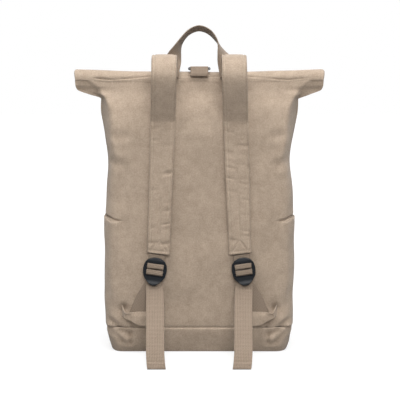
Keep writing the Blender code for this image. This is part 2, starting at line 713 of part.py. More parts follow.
def build_clasp(back_bar, front_bar, mat):
    """Plain clasp: one closed ring of thick round wire, lying over the roll."""
    bend = 0.6 * CLASP_WIRE
    half = WEBBING_WIDTH / 2 + GAP + bend
    corners = [(half, front_bar[0]), (-half, front_bar[0]), (-half, back_bar[0]),
               (half, back_bar[0])]
    wire = [2 * math.pi * step / WIRE_SEGMENTS for step in range(WIRE_SEGMENTS)]
    rings = []
    for k, (x, y) in enumerate(corners):
        middle = Vector((x - math.copysign(bend, x), y + (bend if k > 1 else -bend), back_bar[1]))
        for part in range(BEND_SEGMENTS + 1):
            turn = math.pi / 2 * (k + part / BEND_SEGMENTS)
            out = Vector((math.cos(turn), math.sin(turn), 0))
            rings.append([middle + out * (bend + CLASP_WIRE / 2 * math.cos(a))
                          + Vector((0, 0, CLASP_WIRE / 2 * math.sin(a))) for a in wire])
    loft("closure_clasp", rings, mat, ring=True)


def build_backpack():
    for old in list(bpy.data.objects):
        bpy.data.objects.remove(old)
    canvas = material("canvas", (0.50, 0.41, 0.33), 0.9)
    webbing = material("webbing", (0.53, 0.44, 0.36), 0.85)
    plastic = material("black_plastic", (0.02, 0.024, 0.03), 0.4)
    outer, inner = wall_grid()
    build_walls(outer, inner, canvas)
    build_base(canvas)
    right = (WALL_SEGMENTS, 2 * QUARTER - WALL_SEGMENTS)
    left = (2 * QUARTER + WALL_SEGMENTS, 4 * QUARTER - WALL_SEGMENTS)
    path, widths = strap_line(outer)
    place, across = buckle_place(outer)
    for label, side, span in (("left", 1, left), ("right", -1, right)):
        build_pocket(f"side_pocket_{label}", outer, span[0], span[1], canvas)
        line = mirrored(path, -side)
        ways = [Vector((1, 0, 0))] * len(line)
        loft(f"shoulder_strap_{label}",
             band_rings(line, ways, widths, STRAP_THICKNESS, STRAP_EDGE), canvas)
        build_buckle(f"ladder_lock_{label}", -side, place, plastic)
        build_anchor(f"anchor_webbing_{label}", -side, place, across, webbing)
        build_adjuster(f"adjuster_webbing_{label}", -side, outer, place, across, webbing)
        build_tab(f"corner_tab_{label}", -side, outer, place, canvas)
    build_handle(webbing)
    build_closure(outer, webbing, plastic)


build_backpack()
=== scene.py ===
# %% [markdown]
# # Rolltop backpack
# A canvas bag stands on its base with its straps towards us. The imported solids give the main
# forms, and this lesson dresses them: each soft piece becomes its own sheet or band with folds,
# seams and stitches, and each finish becomes a procedural material.
# All lengths are in metres. +Z is up, and the back wall, which carries the straps, faces -Y.

# %% Load the frame
import math

import bpy
import numpy as np
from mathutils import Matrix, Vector, noise


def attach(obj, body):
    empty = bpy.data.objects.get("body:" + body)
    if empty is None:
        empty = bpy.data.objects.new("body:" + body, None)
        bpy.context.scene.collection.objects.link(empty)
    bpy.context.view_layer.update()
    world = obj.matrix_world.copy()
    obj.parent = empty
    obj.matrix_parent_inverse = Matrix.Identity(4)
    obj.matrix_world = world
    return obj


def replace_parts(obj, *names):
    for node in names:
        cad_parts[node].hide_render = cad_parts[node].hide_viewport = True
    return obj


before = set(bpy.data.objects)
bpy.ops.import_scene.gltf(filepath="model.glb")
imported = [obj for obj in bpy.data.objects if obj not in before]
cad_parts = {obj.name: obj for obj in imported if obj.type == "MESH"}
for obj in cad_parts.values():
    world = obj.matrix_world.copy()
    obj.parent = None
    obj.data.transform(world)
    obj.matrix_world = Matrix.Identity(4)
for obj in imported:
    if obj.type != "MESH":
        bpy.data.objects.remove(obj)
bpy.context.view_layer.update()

# %% [markdown]
# ## Camera
# We look at the back wall from just above the middle of the bag and tilt down a little, so the
# floor shows under the webbing's loose ends. A wide lens close by would splay the sides, so a
# long lens stands further off and keeps them almost parallel. Its height and tilt follow from
# where the loose ends and the top of the handle lie in the picture.

# %% Camera
CAMERA_PLACE = (0.0011, -1.6003, 0.4076)
CAMERA_TILT = math.radians(6.4)
CAMERA_LENS = 93.1         # millimetres, on a sensor 36 wide

camera_data = bpy.data.cameras.new("camera")
camera_data.lens = CAMERA_LENS
camera_data.sensor_width = 36
camera = bpy.data.objects.new("camera", camera_data)
camera.location = CAMERA_PLACE
camera.rotation_euler = (math.pi / 2 - CAMERA_TILT, 0, 0)
bpy.context.scene.collection.objects.link(camera)
bpy.context.scene.camera = camera
print("camera:", CAMERA_PLACE, "lens", CAMERA_LENS)

# %% [markdown]
# ## Studio
# Cloth shows best in plain soft light: a wide softbox above, one over the camera, one behind the
# bag and a weak one at each side. Small lamps would give hard shadows. Light from above and in
# front makes the roll and the arches pale, and leaves undersides and gussets dark.

# %% Lamps
LAMPS = [
    # name, place, target, size, watts
    ("top_light", (0, -0.5, 2.2), (0, 0, 0.25), (2.0, 1.2), 45),
    ("front_light", (0.2, -2.3, 1.50), (0, 0, 0.22), (1.2, 0.9), 31),
    ("far_light", (0.6, 2.4, 1.6), (0, 0, 0.25), (1.2, 0.9), 16),
    ("left_light", (-1.9, -1.2, 1.1), (0, 0, 0.25), (0.8, 1.4), 4),
    ("right_light", (1.9, -1.2, 1.1), (0, 0, 0.25), (0.8, 1.4), 3),
]


def softbox(name, place, target, size, power):
    """A rectangular lamp that looks at its target."""
    lamp = bpy.data.lights.new(name, "AREA")
    lamp.shape = "RECTANGLE"
    lamp.size, lamp.size_y = size
    lamp.energy = power
    made = bpy.data.objects.new(name, lamp)
    made.location = place
    aim = Vector(target) - Vector(place)
    made.rotation_euler = aim.to_track_quat("-Z", "Y").to_euler()
    bpy.context.scene.collection.objects.link(made)


for lamp in LAMPS:
    softbox(*lamp)
print("lamps:", len(LAMPS))

# %% [markdown]
# ## Room
# A pale room fills the shadows with weak, even light, and yet it is seen as pure white. One
# strength can't do both, so the Light Path node tells the camera's own rays from the others.

# %% Room
ROOM_LIGHT = 0.27

world = bpy.data.worlds.new("room")
world.use_nodes = True
bpy.context.scene.world = world
bpy.context.scene.view_settings.view_transform = "Standard"
room = world.node_tree
backdrop = room.nodes["Background"]
backdrop.inputs["Color"].default_value = (1, 1, 1, 1)
seen = room.nodes.new("ShaderNodeLightPath")
strength = room.nodes.new("ShaderNodeMapRange")
strength.inputs["To Min"].default_value = ROOM_LIGHT
strength.inputs["To Max"].default_value = 1.0
room.links.new(seen.outputs["Is Camera Ray"], strength.inputs["Value"])
room.links.new(strength.outputs["Result"], backdrop.inputs["Strength"])
print("room light:", ROOM_LIGHT)

# %% [markdown]
# ## Small tools for nodes
# A node tree could be wired by hand, one line for each node and link, but long trees are easier
# to read when one short helper places a node with its settings and inputs, another does
# arithmetic, and two more make a group and use it.


# %% Node helpers
def put(tree, kind, inputs=None, **settings):
    """A node with its settings and inputs, each a value or another node's output."""
    node = tree.nodes.new("ShaderNode" + kind)
    for key, value in settings.items():
        setattr(node, key, value)
    for key, value in (inputs or {}).items():
        if isinstance(value, bpy.types.NodeSocket):
            tree.links.new(value, node.inputs[key])
        else:
            node.inputs[key].default_value = value
    return node


def calc(tree, operation, *values):
    """One step of arithmetic."""
    return put(tree, "Math", dict(enumerate(values)), operation=operation).outputs[0]


def stretch(tree, value, low, high, out_low=0.0, out_high=1.0):
    """A value moved from one range to another, and held inside it."""
    return put(tree, "MapRange", {"Value": value, "From Min": low, "From Max": high,
                                  "To Min": out_low, "To Max": out_high}).outputs["Result"]


def blend(tree, share, first, second):
    """Two colours mixed."""
    node = put(tree, "Mix", data_type="RGBA")
    for place, value in ((0, share), (6, first), (7, second)):
        if isinstance(value, bpy.types.NodeSocket):
            tree.links.new(value, node.inputs[place])
        else:
            node.inputs[place].default_value = value
    return node.outputs[2]


# %% Group helpers
def group(name, inputs, outputs):
    """An empty shader node group with named sockets."""
    tree = bpy.data.node_groups.new(name, "ShaderNodeTree")
    for label, kind, value in inputs:
        socket = tree.interface.new_socket(name=label, in_out="INPUT", socket_type=kind)
        if value is not None:
            socket.default_value = value
    for label, kind in outputs:
        tree.interface.new_socket(name=label, in_out="OUTPUT", socket_type=kind)
    source = tree.nodes.new("NodeGroupInput").outputs
    sink = tree.nodes.new("NodeGroupOutput").inputs
    return tree, source, sink


def use(tree, made, **inputs):
    """A group placed in a material with its own values."""
    node = tree.nodes.new("ShaderNodeGroup")
    node.node_tree = made
    for key, value in inputs.items():
        socket = node.inputs[key.replace("_", " ")]
        if isinstance(value, bpy.types.NodeSocket):
            tree.links.new(value, socket)
        else:
            socket.default_value = value
    return node.outputs


# %% [markdown]
# ## Shared effect: weave
# Canvas and webbing are both plain weaves: each crossing shows either the lengthwise or the
# crosswise yarn, like a chequerboard of small rounded bumps. The pattern could be painted as
# an image, but a formula on the UV map in real metres stays sharp at any distance and keeps
# the yarns running with the cloth.

# %% Weave group
FLOAT, VECTOR = "NodeSocketFloat", "NodeSocketVector"

weave, source, sink = group(
    "weave",
    [("Vector", VECTOR, None), ("Pitch Across", FLOAT, 0.001), ("Pitch Along", FLOAT, 0.001)],
    [("Height", FLOAT), ("Gap", FLOAT), ("Slub", FLOAT)])
axes = put(weave, "SeparateXYZ", {0: source["Vector"]}).outputs
count_u = calc(weave, "DIVIDE", axes["X"], source["Pitch Across"])
count_v = calc(weave, "DIVIDE", axes["Y"], source["Pitch Along"])
round_u, round_v = (calc(weave, "SINE", calc(weave, "MULTIPLY", calc(weave, "FRACT", n), math.pi))
                    for n in (count_u, count_v))
cell = calc(weave, "ADD", calc(weave, "FLOOR", count_u), calc(weave, "FLOOR", count_v))
over = calc(weave, "PINGPONG", cell, 1.0)
warp = calc(weave, "MULTIPLY", round_u, calc(weave, "MULTIPLY_ADD", round_v, 0.5, 0.5))
weft = calc(weave, "MULTIPLY", round_v, calc(weave, "MULTIPLY_ADD", round_u, 0.5, 0.5))
height = calc(weave, "ADD", calc(weave, "MULTIPLY", warp, over),
              calc(weave, "MULTIPLY", weft, calc(weave, "SUBTRACT", 1.0, over)))
weave.links.new(height, sink["Height"])
weave.links.new(stretch(weave, height, 0.05, 0.45, 1.0, 0.0), sink["Gap"])
streaks = [put(weave, "TexNoise", {"Vector": put(weave, "CombineXYZ", {"X": a, "Y": b}).outputs[0],
                                   "Scale": 1.0, "Detail": 1.0}).outputs[0]
           for a, b in ((count_u, calc(weave, "MULTIPLY", count_v, 0.06)),
                        (calc(weave, "MULTIPLY", count_u, 0.06), count_v))]
weave.links.new(calc(weave, "MULTIPLY_ADD", calc(weave, "ADD", *streaks), 1.0, -0.5), sink["Slub"])
print("weave nodes:", len(weave.nodes))

# %% [markdown]
# ## Shared effect: uneven tone
# Dyed cotton is never one colour. Broad clouds a hand wide, small blotches, and single pale or
# dark yarns lie over each other. Three noises of different size, each with its own weight,
# give a value around zero that each material adds to its colour.

# %% Tone group
tone, source, sink = group(
    "uneven_tone",
    [("Broad", FLOAT, 0.5), ("Blotch", FLOAT, 0.3), ("Fine", FLOAT, 0.3)],
    [("Tone", FLOAT)])
place = put(tone, "TexCoord").outputs["Object"]
parts = []
for label, scale, detail in (("Broad", 14, 2), ("Blotch", 90, 3), ("Fine", 520, 2)):
    speck = put(tone, "TexNoise", {"Vector": place, "Scale": scale, "Detail": detail}).outputs[0]
    parts.append(calc(tone, "MULTIPLY", calc(tone, "SUBTRACT", speck, 0.5), source[label]))
tone.links.new(calc(tone, "ADD", parts[0], calc(tone, "ADD", parts[1], parts[2])), sink["Tone"])
print("tone nodes:", len(tone.nodes))

# %% [markdown]
# ## Shared effect: edge wear and painted shade
# Hems and folds are rubbed paler on their ridges, and their hollows get painted shade: colour
# darkened where shade would fall. Cycles knows how sharply a mesh turns at each point, and a
# narrow range of that value picks out the ridges and the hollows.

# %% Wear and painted shade group
wear_and_shade, source, sink = group("edge_wear_and_shade", [("Spread", FLOAT, 0.05)],
                           [("Ridge", FLOAT), ("Hollow Shade", FLOAT)])
bend_value = put(wear_and_shade, "NewGeometry").outputs["Pointiness"]
# The ridge mask is rubbed wear. The hollow mask is painted shade for creases and folds.
for label, sign in (("Ridge", 1), ("Hollow Shade", -1)):
    limit = calc(wear_and_shade, "MULTIPLY_ADD", source["Spread"], sign, 0.5)
    near = calc(wear_and_shade, "MULTIPLY_ADD", source["Spread"], 0.15 * sign, 0.5)
    wear_and_shade.links.new(stretch(wear_and_shade, bend_value, near, limit), sink[label])
print("wear nodes:", len(wear_and_shade.nodes))

# %% [markdown]
# ## Cloth finishes
# Canvas, webbing and sewing thread share one recipe: a base colour, shifted by tone, slubs, wear
# on the ridges and painted shade in the hollows, dark gaps between the yarns, and a bump from the
# weave. The webbing is a coarser, tighter weave than the canvas. Sheen stands for the fine fuzz of
# cotton. Three materials built by hand would repeat the same tree, so one function makes them all.

# %% Cloth recipe
COTTON_SHEEN = 0.25
HOLLOW_ROUGH, YARN_ROUGH = 0.94, 0.82
DARK, LIGHT = (0.55, 0.52, 0.48), (1.42, 1.45, 1.50)     # each times the base colour


def tinted(color, tint):
    """A base colour made darker or lighter, never above white."""
    return tuple(min(1, c * t) for c, t in zip(color, tint)) + (1,)


def cloth(name, color, pitch, depth, gap_shade, tones=(0.16, 0.12, 0.14)):
    """A woven material. pitch is the yarn spacing across and along, depth the bump in metres."""
    made = bpy.data.materials.new(name)
    made.use_nodes = True
    tree = made.node_tree
    shader = tree.nodes["Principled BSDF"]
    shader.inputs["Sheen Weight"].default_value = COTTON_SHEEN
    shader.inputs["Sheen Roughness"].default_value = 0.5
    shader.inputs["Specular IOR Level"].default_value = 0.2
    map_uv = put(tree, "UVMap").outputs[0]
    yarn = use(tree, weave, Vector=map_uv, Pitch_Across=pitch[0], Pitch_Along=pitch[1])
    shade = use(tree, tone, Broad=tones[0], Blotch=tones[1], Fine=tones[2])
    worn_and_shaded = use(tree, wear_and_shade, Spread=0.06)
    value = calc(tree, "ADD", shade["Tone"], calc(tree, "MULTIPLY", yarn["Slub"], 0.10))
    value = calc(tree, "ADD", value, calc(tree, "MULTIPLY", worn_and_shaded["Ridge"], 0.10))
    # painted shade: the colour is darkened in the hollows of folds and creases
    value = calc(tree, "SUBTRACT", value, calc(tree, "MULTIPLY", worn_and_shaded["Hollow Shade"], 0.16))
    value = calc(tree, "SUBTRACT", value, calc(tree, "MULTIPLY", yarn["Gap"], gap_shade))
    lower = blend(tree, stretch(tree, value, -0.5, 0.0), tinted(color, DARK), (*color, 1))
    final = blend(tree, stretch(tree, value, 0.0, 0.5), lower, tinted(color, LIGHT))
    tree.links.new(final, shader.inputs["Base Color"])
    rough = stretch(tree, yarn["Height"], 0, 1, HOLLOW_ROUGH, YARN_ROUGH)
    tree.links.new(rough, shader.inputs["Roughness"])
    fuzz = calc(tree, "MULTIPLY_ADD", yarn["Slub"], 0.5, yarn["Height"])
    relief = put(tree, "Bump", {"Height": fuzz, "Distance": depth, "Strength": 0.8})
    tree.links.new(relief.outputs[0], shader.inputs["Normal"])
    return made


# %% Cloth materials
canvas = cloth("canvas", (0.420, 0.328, 0.248), (0.0009, 0.0009), 0.00022, 0.10,
               tones=(0.22, 0.42, 0.60))
webbing = cloth("webbing", (0.305, 0.235, 0.177), (0.0022, 0.0022), 0.00056, 0.38)
thread = cloth("thread", (0.47, 0.39, 0.31), (0.0004, 0.0008), 0.0001, 0.05)
print("cloth materials:", canvas.name, webbing.name, thread.name)

# %% [markdown]
# ## Moulded plastic
# The buckles are black moulded plastic with a satin grain. A plain dark shader would look like
# paint, so a fine noise roughens the gloss and the relief, and raised edges are slightly
# polished. The reflections come from the softboxes.

# %% Plastic material
BLACK, RUBBED_BLACK = (0.003, 0.004, 0.006, 1), (0.009, 0.013, 0.019, 1)

plastic = bpy.data.materials.new("black_plastic")
plastic.use_nodes = True
tree = plastic.node_tree
shader = tree.nodes["Principled BSDF"]
shader.inputs["Specular IOR Level"].default_value = 0.42
grain = put(tree, "TexNoise", {"Vector": put(tree, "TexCoord").outputs["Object"],
                               "Scale": 2600, "Detail": 2}).outputs[0]
smears = use(tree, tone, Broad=0.2, Blotch=0.5, Fine=0.5)["Tone"]
rubbed = use(tree, wear_and_shade, Spread=0.12)["Ridge"]
level = calc(tree, "ADD", stretch(tree, smears, -0.4, 0.4, 0.0, 0.6),
             calc(tree, "MULTIPLY", rubbed, 0.4))
tree.links.new(blend(tree, level, BLACK, RUBBED_BLACK), shader.inputs["Base Color"])
tree.links.new(stretch(tree, level, 0, 1, 0.42, 0.27), shader.inputs["Roughness"])
tree.links.new(put(tree, "Bump", {"Height": grain, "Distance": 0.00004}).outputs[0],
               shader.inputs["Normal"])
print("plastic nodes:", len(tree.nodes))

# %% [markdown]
# ## Floor
# A pale matt floor belongs to the studio and not to the bag. Lamps alone would leave it grey far
# away, so it glows, most at the horizon. Only the camera sees the glow, and it lights nothing.

# %% Floor
FLOOR_SIZE = 24.0
FLOOR_GLOW = 0.72, 1.00        # near the bag and far away
GLOW_REACH = 0.3, 2.5          # where the near glow ends and the far one begins

half = FLOOR_SIZE / 2
floor_mesh = bpy.data.meshes.new("floor")
floor_mesh.from_pydata([(-half, -half, 0), (half, -half, 0), (half, half, 0), (-half, half, 0)],
                       [], [(0, 1, 2, 3)])
floor_finish = bpy.data.materials.new("pale_floor")
floor_finish.use_nodes = True
tree = floor_finish.node_tree
shader = tree.nodes["Principled BSDF"]
shader.inputs["Base Color"].default_value = (0.32, 0.32, 0.32, 1)
shader.inputs["Roughness"].default_value = 1.0
shader.inputs["Specular IOR Level"].default_value = 0.0
shader.inputs["Emission Color"].default_value = (1, 1, 1, 1)
away = put(tree, "VectorMath", {0: put(tree, "TexCoord").outputs["Object"]}, operation="LENGTH")
glow = calc(tree, "MULTIPLY", put(tree, "LightPath").outputs["Is Camera Ray"],
            stretch(tree, away.outputs["Value"], *GLOW_REACH, *FLOOR_GLOW))
tree.links.new(glow, shader.inputs["Emission Strength"])
floor_mesh.materials.append(floor_finish)
floor = bpy.data.objects.new("floor", floor_mesh)
bpy.context.scene.collection.objects.link(floor)
print("floor:", FLOOR_SIZE, "m wide")

# %% [markdown]
# ## Small tools for shapes
# Every soft piece here is a grid of points: rows along it and columns across or round it. It
# could be sculpted by hand, but a formula can be read, changed and measured. Small steps and
# bumps come first, then smooth curves through short tables of sizes.


# %% Steps and bumps
def mix(a, b, share):
    """The way from a to b at a share."""
    return a + (b - a) * share


def ease(x):
    """A soft step: 0 below 0, 1 above 1."""
    x = np.clip(x, 0, 1)
    return x * x * (3 - 2 * x)


def bell(x, middle, width):
    """A soft bump, 1 high at its middle."""
    return np.exp(-((x - middle) / width) ** 2)


def fading(share, run):
    """1 along a line, fading to 0 over a run at each end."""
    return ease(share / run) * ease((1 - share) / run)


def unit(v):
    """Directions of length 1."""
    return v / np.maximum(np.linalg.norm(v, axis=-1, keepdims=True), 1e-12)


# %% Smooth curves
def through(table, x):
    """Smooth curve with no overshoot: the table's first column in, its other columns out."""
    table, x = np.array(table, float), np.atleast_1d(np.array(x, float))
    step = np.diff(table[:, 0])
    slope = np.diff(table[:, 1:], axis=0) / step[:, None]
    same = slope[1:] * slope[:-1]
    inner = np.where(same > 0, 2 * same / np.where(same > 0, slope[1:] + slope[:-1], 1), 0)
    way = np.vstack([slope[:1], inner, slope[-1:]])
    k = np.clip(np.searchsorted(table[:, 0], x, side="right") - 1, 0, len(step) - 1)
    t = ((x - table[k, 0]) / step[k])[:, None]
    h = step[k][:, None]
    return ((1 + 2 * t) * (1 - t) ** 2 * table[k, 1:] + t * (1 - t) ** 2 * h * way[k]
            + t * t * (3 - 2 * t) * table[k + 1, 1:] + t * t * (t - 1) * h * way[k + 1])


def lengths(line):
    """Distance gone at each point of a line."""
    return np.concatenate([[0], np.cumsum(np.linalg.norm(np.diff(line, axis=0), axis=1))])


def resampled(line, shares):
    """Points at shares of a line's length."""
    along = lengths(line)
    return np.stack([np.interp(np.asarray(shares) * along[-1], along, line[:, c])
                     for c in range(line.shape[1])], -1)


def smooth_path(points, steps):
    """Catmull-Rom curve through points."""
    p = np.array(points, float)
    p = np.vstack([2 * p[0] - p[1], p, 2 * p[-1] - p[-2]])
    t = (np.arange(steps) / steps)[:, None]
    parts = [0.5 * (2 * b + (c - a) * t + (2 * a - 5 * b + 4 * c - d) * t ** 2
                    + (3 * b - a - 3 * c + d) * t ** 3)
             for a, b, c, d in zip(p, p[1:], p[2:], p[3:])]
    return np.vstack(parts + [p[-2:-1]])


# %% Fields
def cloud(points, size, seed):
    """Smooth noise from -1 to 1 at points, with lumps of about this size."""
    shift = np.array([seed * 7.31, seed * 3.17, seed * 5.57])
    flat = points.reshape(-1, 3) / size + shift
    return np.array([noise.noise(p) for p in flat.tolist()]).reshape(points.shape[:-1])


def normals(points, closed):
    """Outward directions of a grid, when its columns run to the right and its rows up."""
    if closed:
        across = np.roll(points, -1, axis=1) - np.roll(points, 1, axis=1)
    else:
        across = np.gradient(points, axis=1)
    return unit(np.cross(across, np.gradient(points, axis=0)))


def off_line(x, z, line):
    """Distance from a line of (x, z) points, and the share along it of the nearest point."""
    line = np.array(line, float)
    along = lengths(line) / lengths(line)[-1]
    best = np.full(x.shape, 9.0)
    share = np.zeros(x.shape)
    for a, b, s, e in zip(line, line[1:], along, along[1:]):
        way = b - a
        t = np.clip(((x - a[0]) * way[0] + (z - a[1]) * way[1]) / (way @ way), 0, 1)
        gone = np.hypot(x - a[0] - way[0] * t, z - a[1] - way[1] * t)
        share = np.where(gone < best, mix(s, e, t), share)
        best = np.minimum(best, gone)
    return best, share


# %% [markdown]
# ## From grids to pieces
# One helper turns a grid into a mesh with a UV map in metres, so that the weave has its real
# size everywhere. Unwrapping could do it too, but the grid already knows how far each row and
# column lies from the first. Another helper gives the piece its finish and its place.


# %% Grids to meshes
def piece(name, mesh, finish):
    """An object of the bag, with its finish, that rides on the one body."""
    mesh.materials.append(finish)
    mesh.shade_smooth()
    made = bpy.data.objects.new(name, mesh)
    bpy.context.scene.collection.objects.link(made)
    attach(made, "root")
    return made


def grid_mesh(name, points, closed, across, along, caps=False):
    """Mesh of a grid. across and along are the UV positions of its columns and rows."""
    rows, columns = points.shape[:2]
    spans = columns if closed else columns - 1
    i, j = np.meshgrid(np.arange(rows - 1), np.arange(spans), indexing="ij")
    k = (j + 1) % columns
    quads = np.stack([i * columns + j, i * columns + k, (i + 1) * columns + k,
                      (i + 1) * columns + j], -1).reshape(-1, 4).tolist()
    u = np.stack([across[j], across[j + 1], across[j + 1], across[j]], -1)
    v = np.stack([along[i], along[i], along[i + 1], along[i + 1]], -1)
    uv = np.stack([u, v], -1).reshape(-1, 2)
    if caps:
        ends = [list(range(columns))[::-1], [(rows - 1) * columns + c for c in range(columns)]]
        quads += ends
        flat = [(across[c], along[0]) for c in ends[0]]
        flat += [(across[c - (rows - 1) * columns], along[-1]) for c in ends[1]]
        uv = np.vstack([uv, flat])
    mesh = bpy.data.meshes.new(name)
    mesh.from_pydata(points.reshape(-1, 3).tolist(), [], quads)
    layer = mesh.uv_layers.new(name="UVMap")
    layer.data.foreach_set("uv", np.asarray(uv, np.float32).ravel())
    return mesh


def thick(made, wall):
    """Cloth of a real thickness, added on the inside of its outer face."""
    solid = made.modifiers.new("cloth_thickness", "SOLIDIFY")
    solid.thickness = wall
    solid.offset = -1
    solid.use_rim = True
    return made


# %% Bands
def band_outline(width, thickness, columns):
    """Outline of a flat band, rounded at its two edges: positions across and outwards."""
    rise = thickness / 2
    flat = width / 2 - rise
    across = np.linspace(-flat, flat, columns)
    turn = np.linspace(0, math.pi, 6)[1:-1]
    right = np.stack([flat + rise * np.sin(turn), rise * np.cos(turn)], -1)
    top = np.stack([across, np.full(columns, rise)], -1)
    return np.vstack([top, right, -top, -right])


def band_points(path, side, outlines, push=None):
    """Rings of a band along a path, with an outline each. push gives each point's shift outwards
    from its place across, out and along the band."""
    way = unit(np.gradient(path, axis=0))
    side = unit(side)
    face = unit(np.cross(way, side))
    along = lengths(path)
    a, b = outlines[..., 0], outlines[..., 1]
    if push is not None:
        b = b + push(a, b, along[:, None])
    return path[:, None] + side[:, None] * a[..., None] + face[:, None] * b[..., None]


def ring_across(outlines):
    """UV positions round a band's first outline."""
    return lengths(np.vstack([outlines[0], outlines[0, :1]]))


def mirrored(points, side):
    """Points for the left side (-1) turned into those of the right side (1)."""
    return points * np.array([-side, 1, 1])


def flipped(mesh, side):
    """A mesh whose faces look outwards again after its points were mirrored."""
    if side > 0:
        mesh.flip_normals()
    return mesh


# %% [markdown]
# ## Sizes
# The solids were lofted from a short table of cross sections. Fine sheets could be wrapped
# round the solids, but would copy their coarse facets. The same sizes and the same table let the
# sheets lie exactly where the solids are, with as many rows as the folds need.

# %% Sizes of the bag
CLOTH = 0.0013             # visible wall, a little thinner than the solid's
GAP = 0.0003               # between pieces that touch
BODY_WIDTH, BODY_DEPTH, BODY_HEIGHT = 0.286, 0.116, 0.4255
BASE_HEIGHT, BASE_TUCK = 0.0395, 0.0095
CORNER_RADIUS, FRONT_CROWN, SEAM_X = 0.030, 0.008, 0.118
ROLL_LENGTH, ROLL_HEIGHT, ROLL_THICKNESS, ROLL_OFFSET = 0.374, 0.031, 0.028, 0.022
ROLL_TURNS, STACK, HORN_RISE = 1.9, 0.0036, 0.003
ROLL_Z = BODY_HEIGHT - ROLL_HEIGHT / 2
ROLL_BACK = -ROLL_OFFSET - ROLL_THICKNESS / 2
WALL_BACK = -BODY_DEPTH / 2
TUBE_HEIGHT = ROLL_Z - BASE_HEIGHT
SEAM_Z = ROLL_Z + ROLL_HEIGHT / 4
POCKET_TOP = 0.2075
WEBBING, WEBBING_WIDTH = 0.0016, 0.025

TUBE = [
    # height, width, spread to the roll's width, lean of the back, close of the front,
    # corner along X and along Y, tips drawn in, rise of the tips
    (0.000, 1.000, 0.00, 0.00, 0.00, 0.80, 0.9, 0.00, 0.0),
    (0.082, 1.000, 0.00, -0.03, -0.02, 0.80, 0.9, 0.00, 0.0),
    (0.204, 1.000, 0.00, -0.07, -0.04, 0.80, 1.0, 0.00, 0.0),
    (0.325, 1.000, 0.00, -0.09, -0.05, 0.80, 1.0, 0.00, 0.0),
    (0.452, 1.000, 0.00, -0.07, -0.05, 0.80, 1.0, 0.00, 0.0),
    (0.568, 0.992, 0.00, -0.03, -0.03, 0.75, 1.1, 0.00, 0.0),
    (0.684, 0.971, 0.00, 0.00, 0.03, 0.66, 1.2, 0.00, 0.0),
    (0.771, 1.004, 0.00, 0.07, 0.12, 0.52, 1.4, 0.00, 0.0),
    (0.843, 1.029, 0.00, 0.22, 0.28, 0.44, 1.4, 0.00, 0.1),
    (0.897, 1.039, 0.00, 0.45, 0.47, 0.40, 1.4, 0.00, 0.3),
    (0.930, 1.038, 0.00, 0.66, 0.66, 0.37, 1.4, 0.00, 0.5),
    (0.947, 1.038, 0.43, 0.78, 0.79, 0.73, 1.4, 0.00, 0.7),
    (0.965, 1.038, 0.93, 0.89, 0.965, 0.10, 0.1, 0.20, 0.9),
    (0.9825, 1.038, 0.985, 0.95, 0.99, 0.10, 0.1, 0.04, 0.95),
    (1.000, 1.038, 1.00, 1.00, 1.00, 0.10, 0.1, 0.00, 1.0),
]
print("bag:", BODY_WIDTH, "wide", BODY_DEPTH, "deep", BODY_HEIGHT, "high to the roll")

# %% [markdown]
# ## Bag body
# On the real bag the body is one tube of canvas. It is boxed at the base, and flattened and
# rolled at the mouth. Five plates would never give its soft corners, so the body is one grid:
# each row is a cross section, and the rows climb the walls and then wind round the roll.

# %% Cross sections
QUARTER = 48               # columns from the middle of a wall to the middle of a side
near_side = 1 - (1 - np.linspace(0, 1, QUARTER + 1)) ** 1.5


def section(half_width, back, front, crown, wide, deep):
    """One closed loop of the bag, from the middle of the back wall towards +X."""
    cheek = front - crown
    deep = min(deep, 0.94 * (cheek - back) / 2)
    wide = min(wide, 0.98 * (half_width - SEAM_X))
    turn = np.linspace(0, math.pi / 2, 25)
    corner_x = half_width - wide * (1 - np.sin(turn))
    corner_y = deep * (1 - np.cos(turn))
    tip = [[half_width, (back + cheek) / 2]]
    front_x = np.linspace(SEAM_X, 0, 20)
    back_line = np.vstack([[[0, back]], np.stack([corner_x, back + corner_y], -1), tip])
    front_line = np.vstack([tip, np.stack([corner_x, cheek - corner_y], -1)[::-1],
                            np.stack([front_x, front - crown * (front_x / SEAM_X) ** 2], -1)])
    right = np.vstack([resampled(back_line, near_side),
                       resampled(front_line, 1 - near_side[::-1])[1:]])
    return np.vstack([right, right[1:-1][::-1] * (-1, 1)])


def tube_loop(share, inset=0.0):
    """Cross section at a share of the tube's height."""
    width, spread, lean, close, side, deep, tuck, rise = through(TUBE, share)[0]
    half_width = mix(width * BODY_WIDTH / 2, ROLL_LENGTH / 2, spread) - inset
    back = mix(WALL_BACK, ROLL_BACK, lean) + inset
    front = mix(BODY_DEPTH / 2, back + STACK, close) - inset
    flat = section(half_width, back, front, FRONT_CROWN * max(0, 1 - close * 1.1),
                   CORNER_RADIUS * side, CORNER_RADIUS * deep)
    x, y = flat.T
    y = y + ROLL_THICKNESS * tuck * ease((abs(x) - SEAM_X) / (half_width - SEAM_X))
    z = BASE_HEIGHT + TUBE_HEIGHT * share + HORN_RISE * rise * (abs(x) / half_width) ** 3
    return np.stack([x, y, z], -1)


def roll_loop(turn):
    """The flattened tube at one angle of the roll: 0 at its back, a quarter turn on top."""
    pitch = (STACK + GAP) * turn / (2 * math.pi)
    half_y = ROLL_THICKNESS / 2 - STACK / 2 - pitch
    half_z = ROLL_HEIGHT / 2 - STACK / 2 - pitch
    middle = np.array([0, -ROLL_OFFSET - half_y * math.cos(turn),
                       ROLL_Z + half_z * math.sin(turn)])
    out = unit(np.array([0, -math.cos(turn) / half_y, math.sin(turn) / half_z]))
    flat = section(ROLL_LENGTH / 2, -STACK / 2, STACK / 2, 0, STACK / 2, STACK / 2)
    lift = HORN_RISE * (abs(flat[:, 0]) / (ROLL_LENGTH / 2)) ** 3
    along_x = np.stack([flat[:, 0], lift * 0, lift], -1)
    return middle + along_x - out * flat[:, 1:]


# %% Body grid
MOUTH_ROWS = 0.4235, 0.4645, 16        # finer rows at the mouths of the pockets

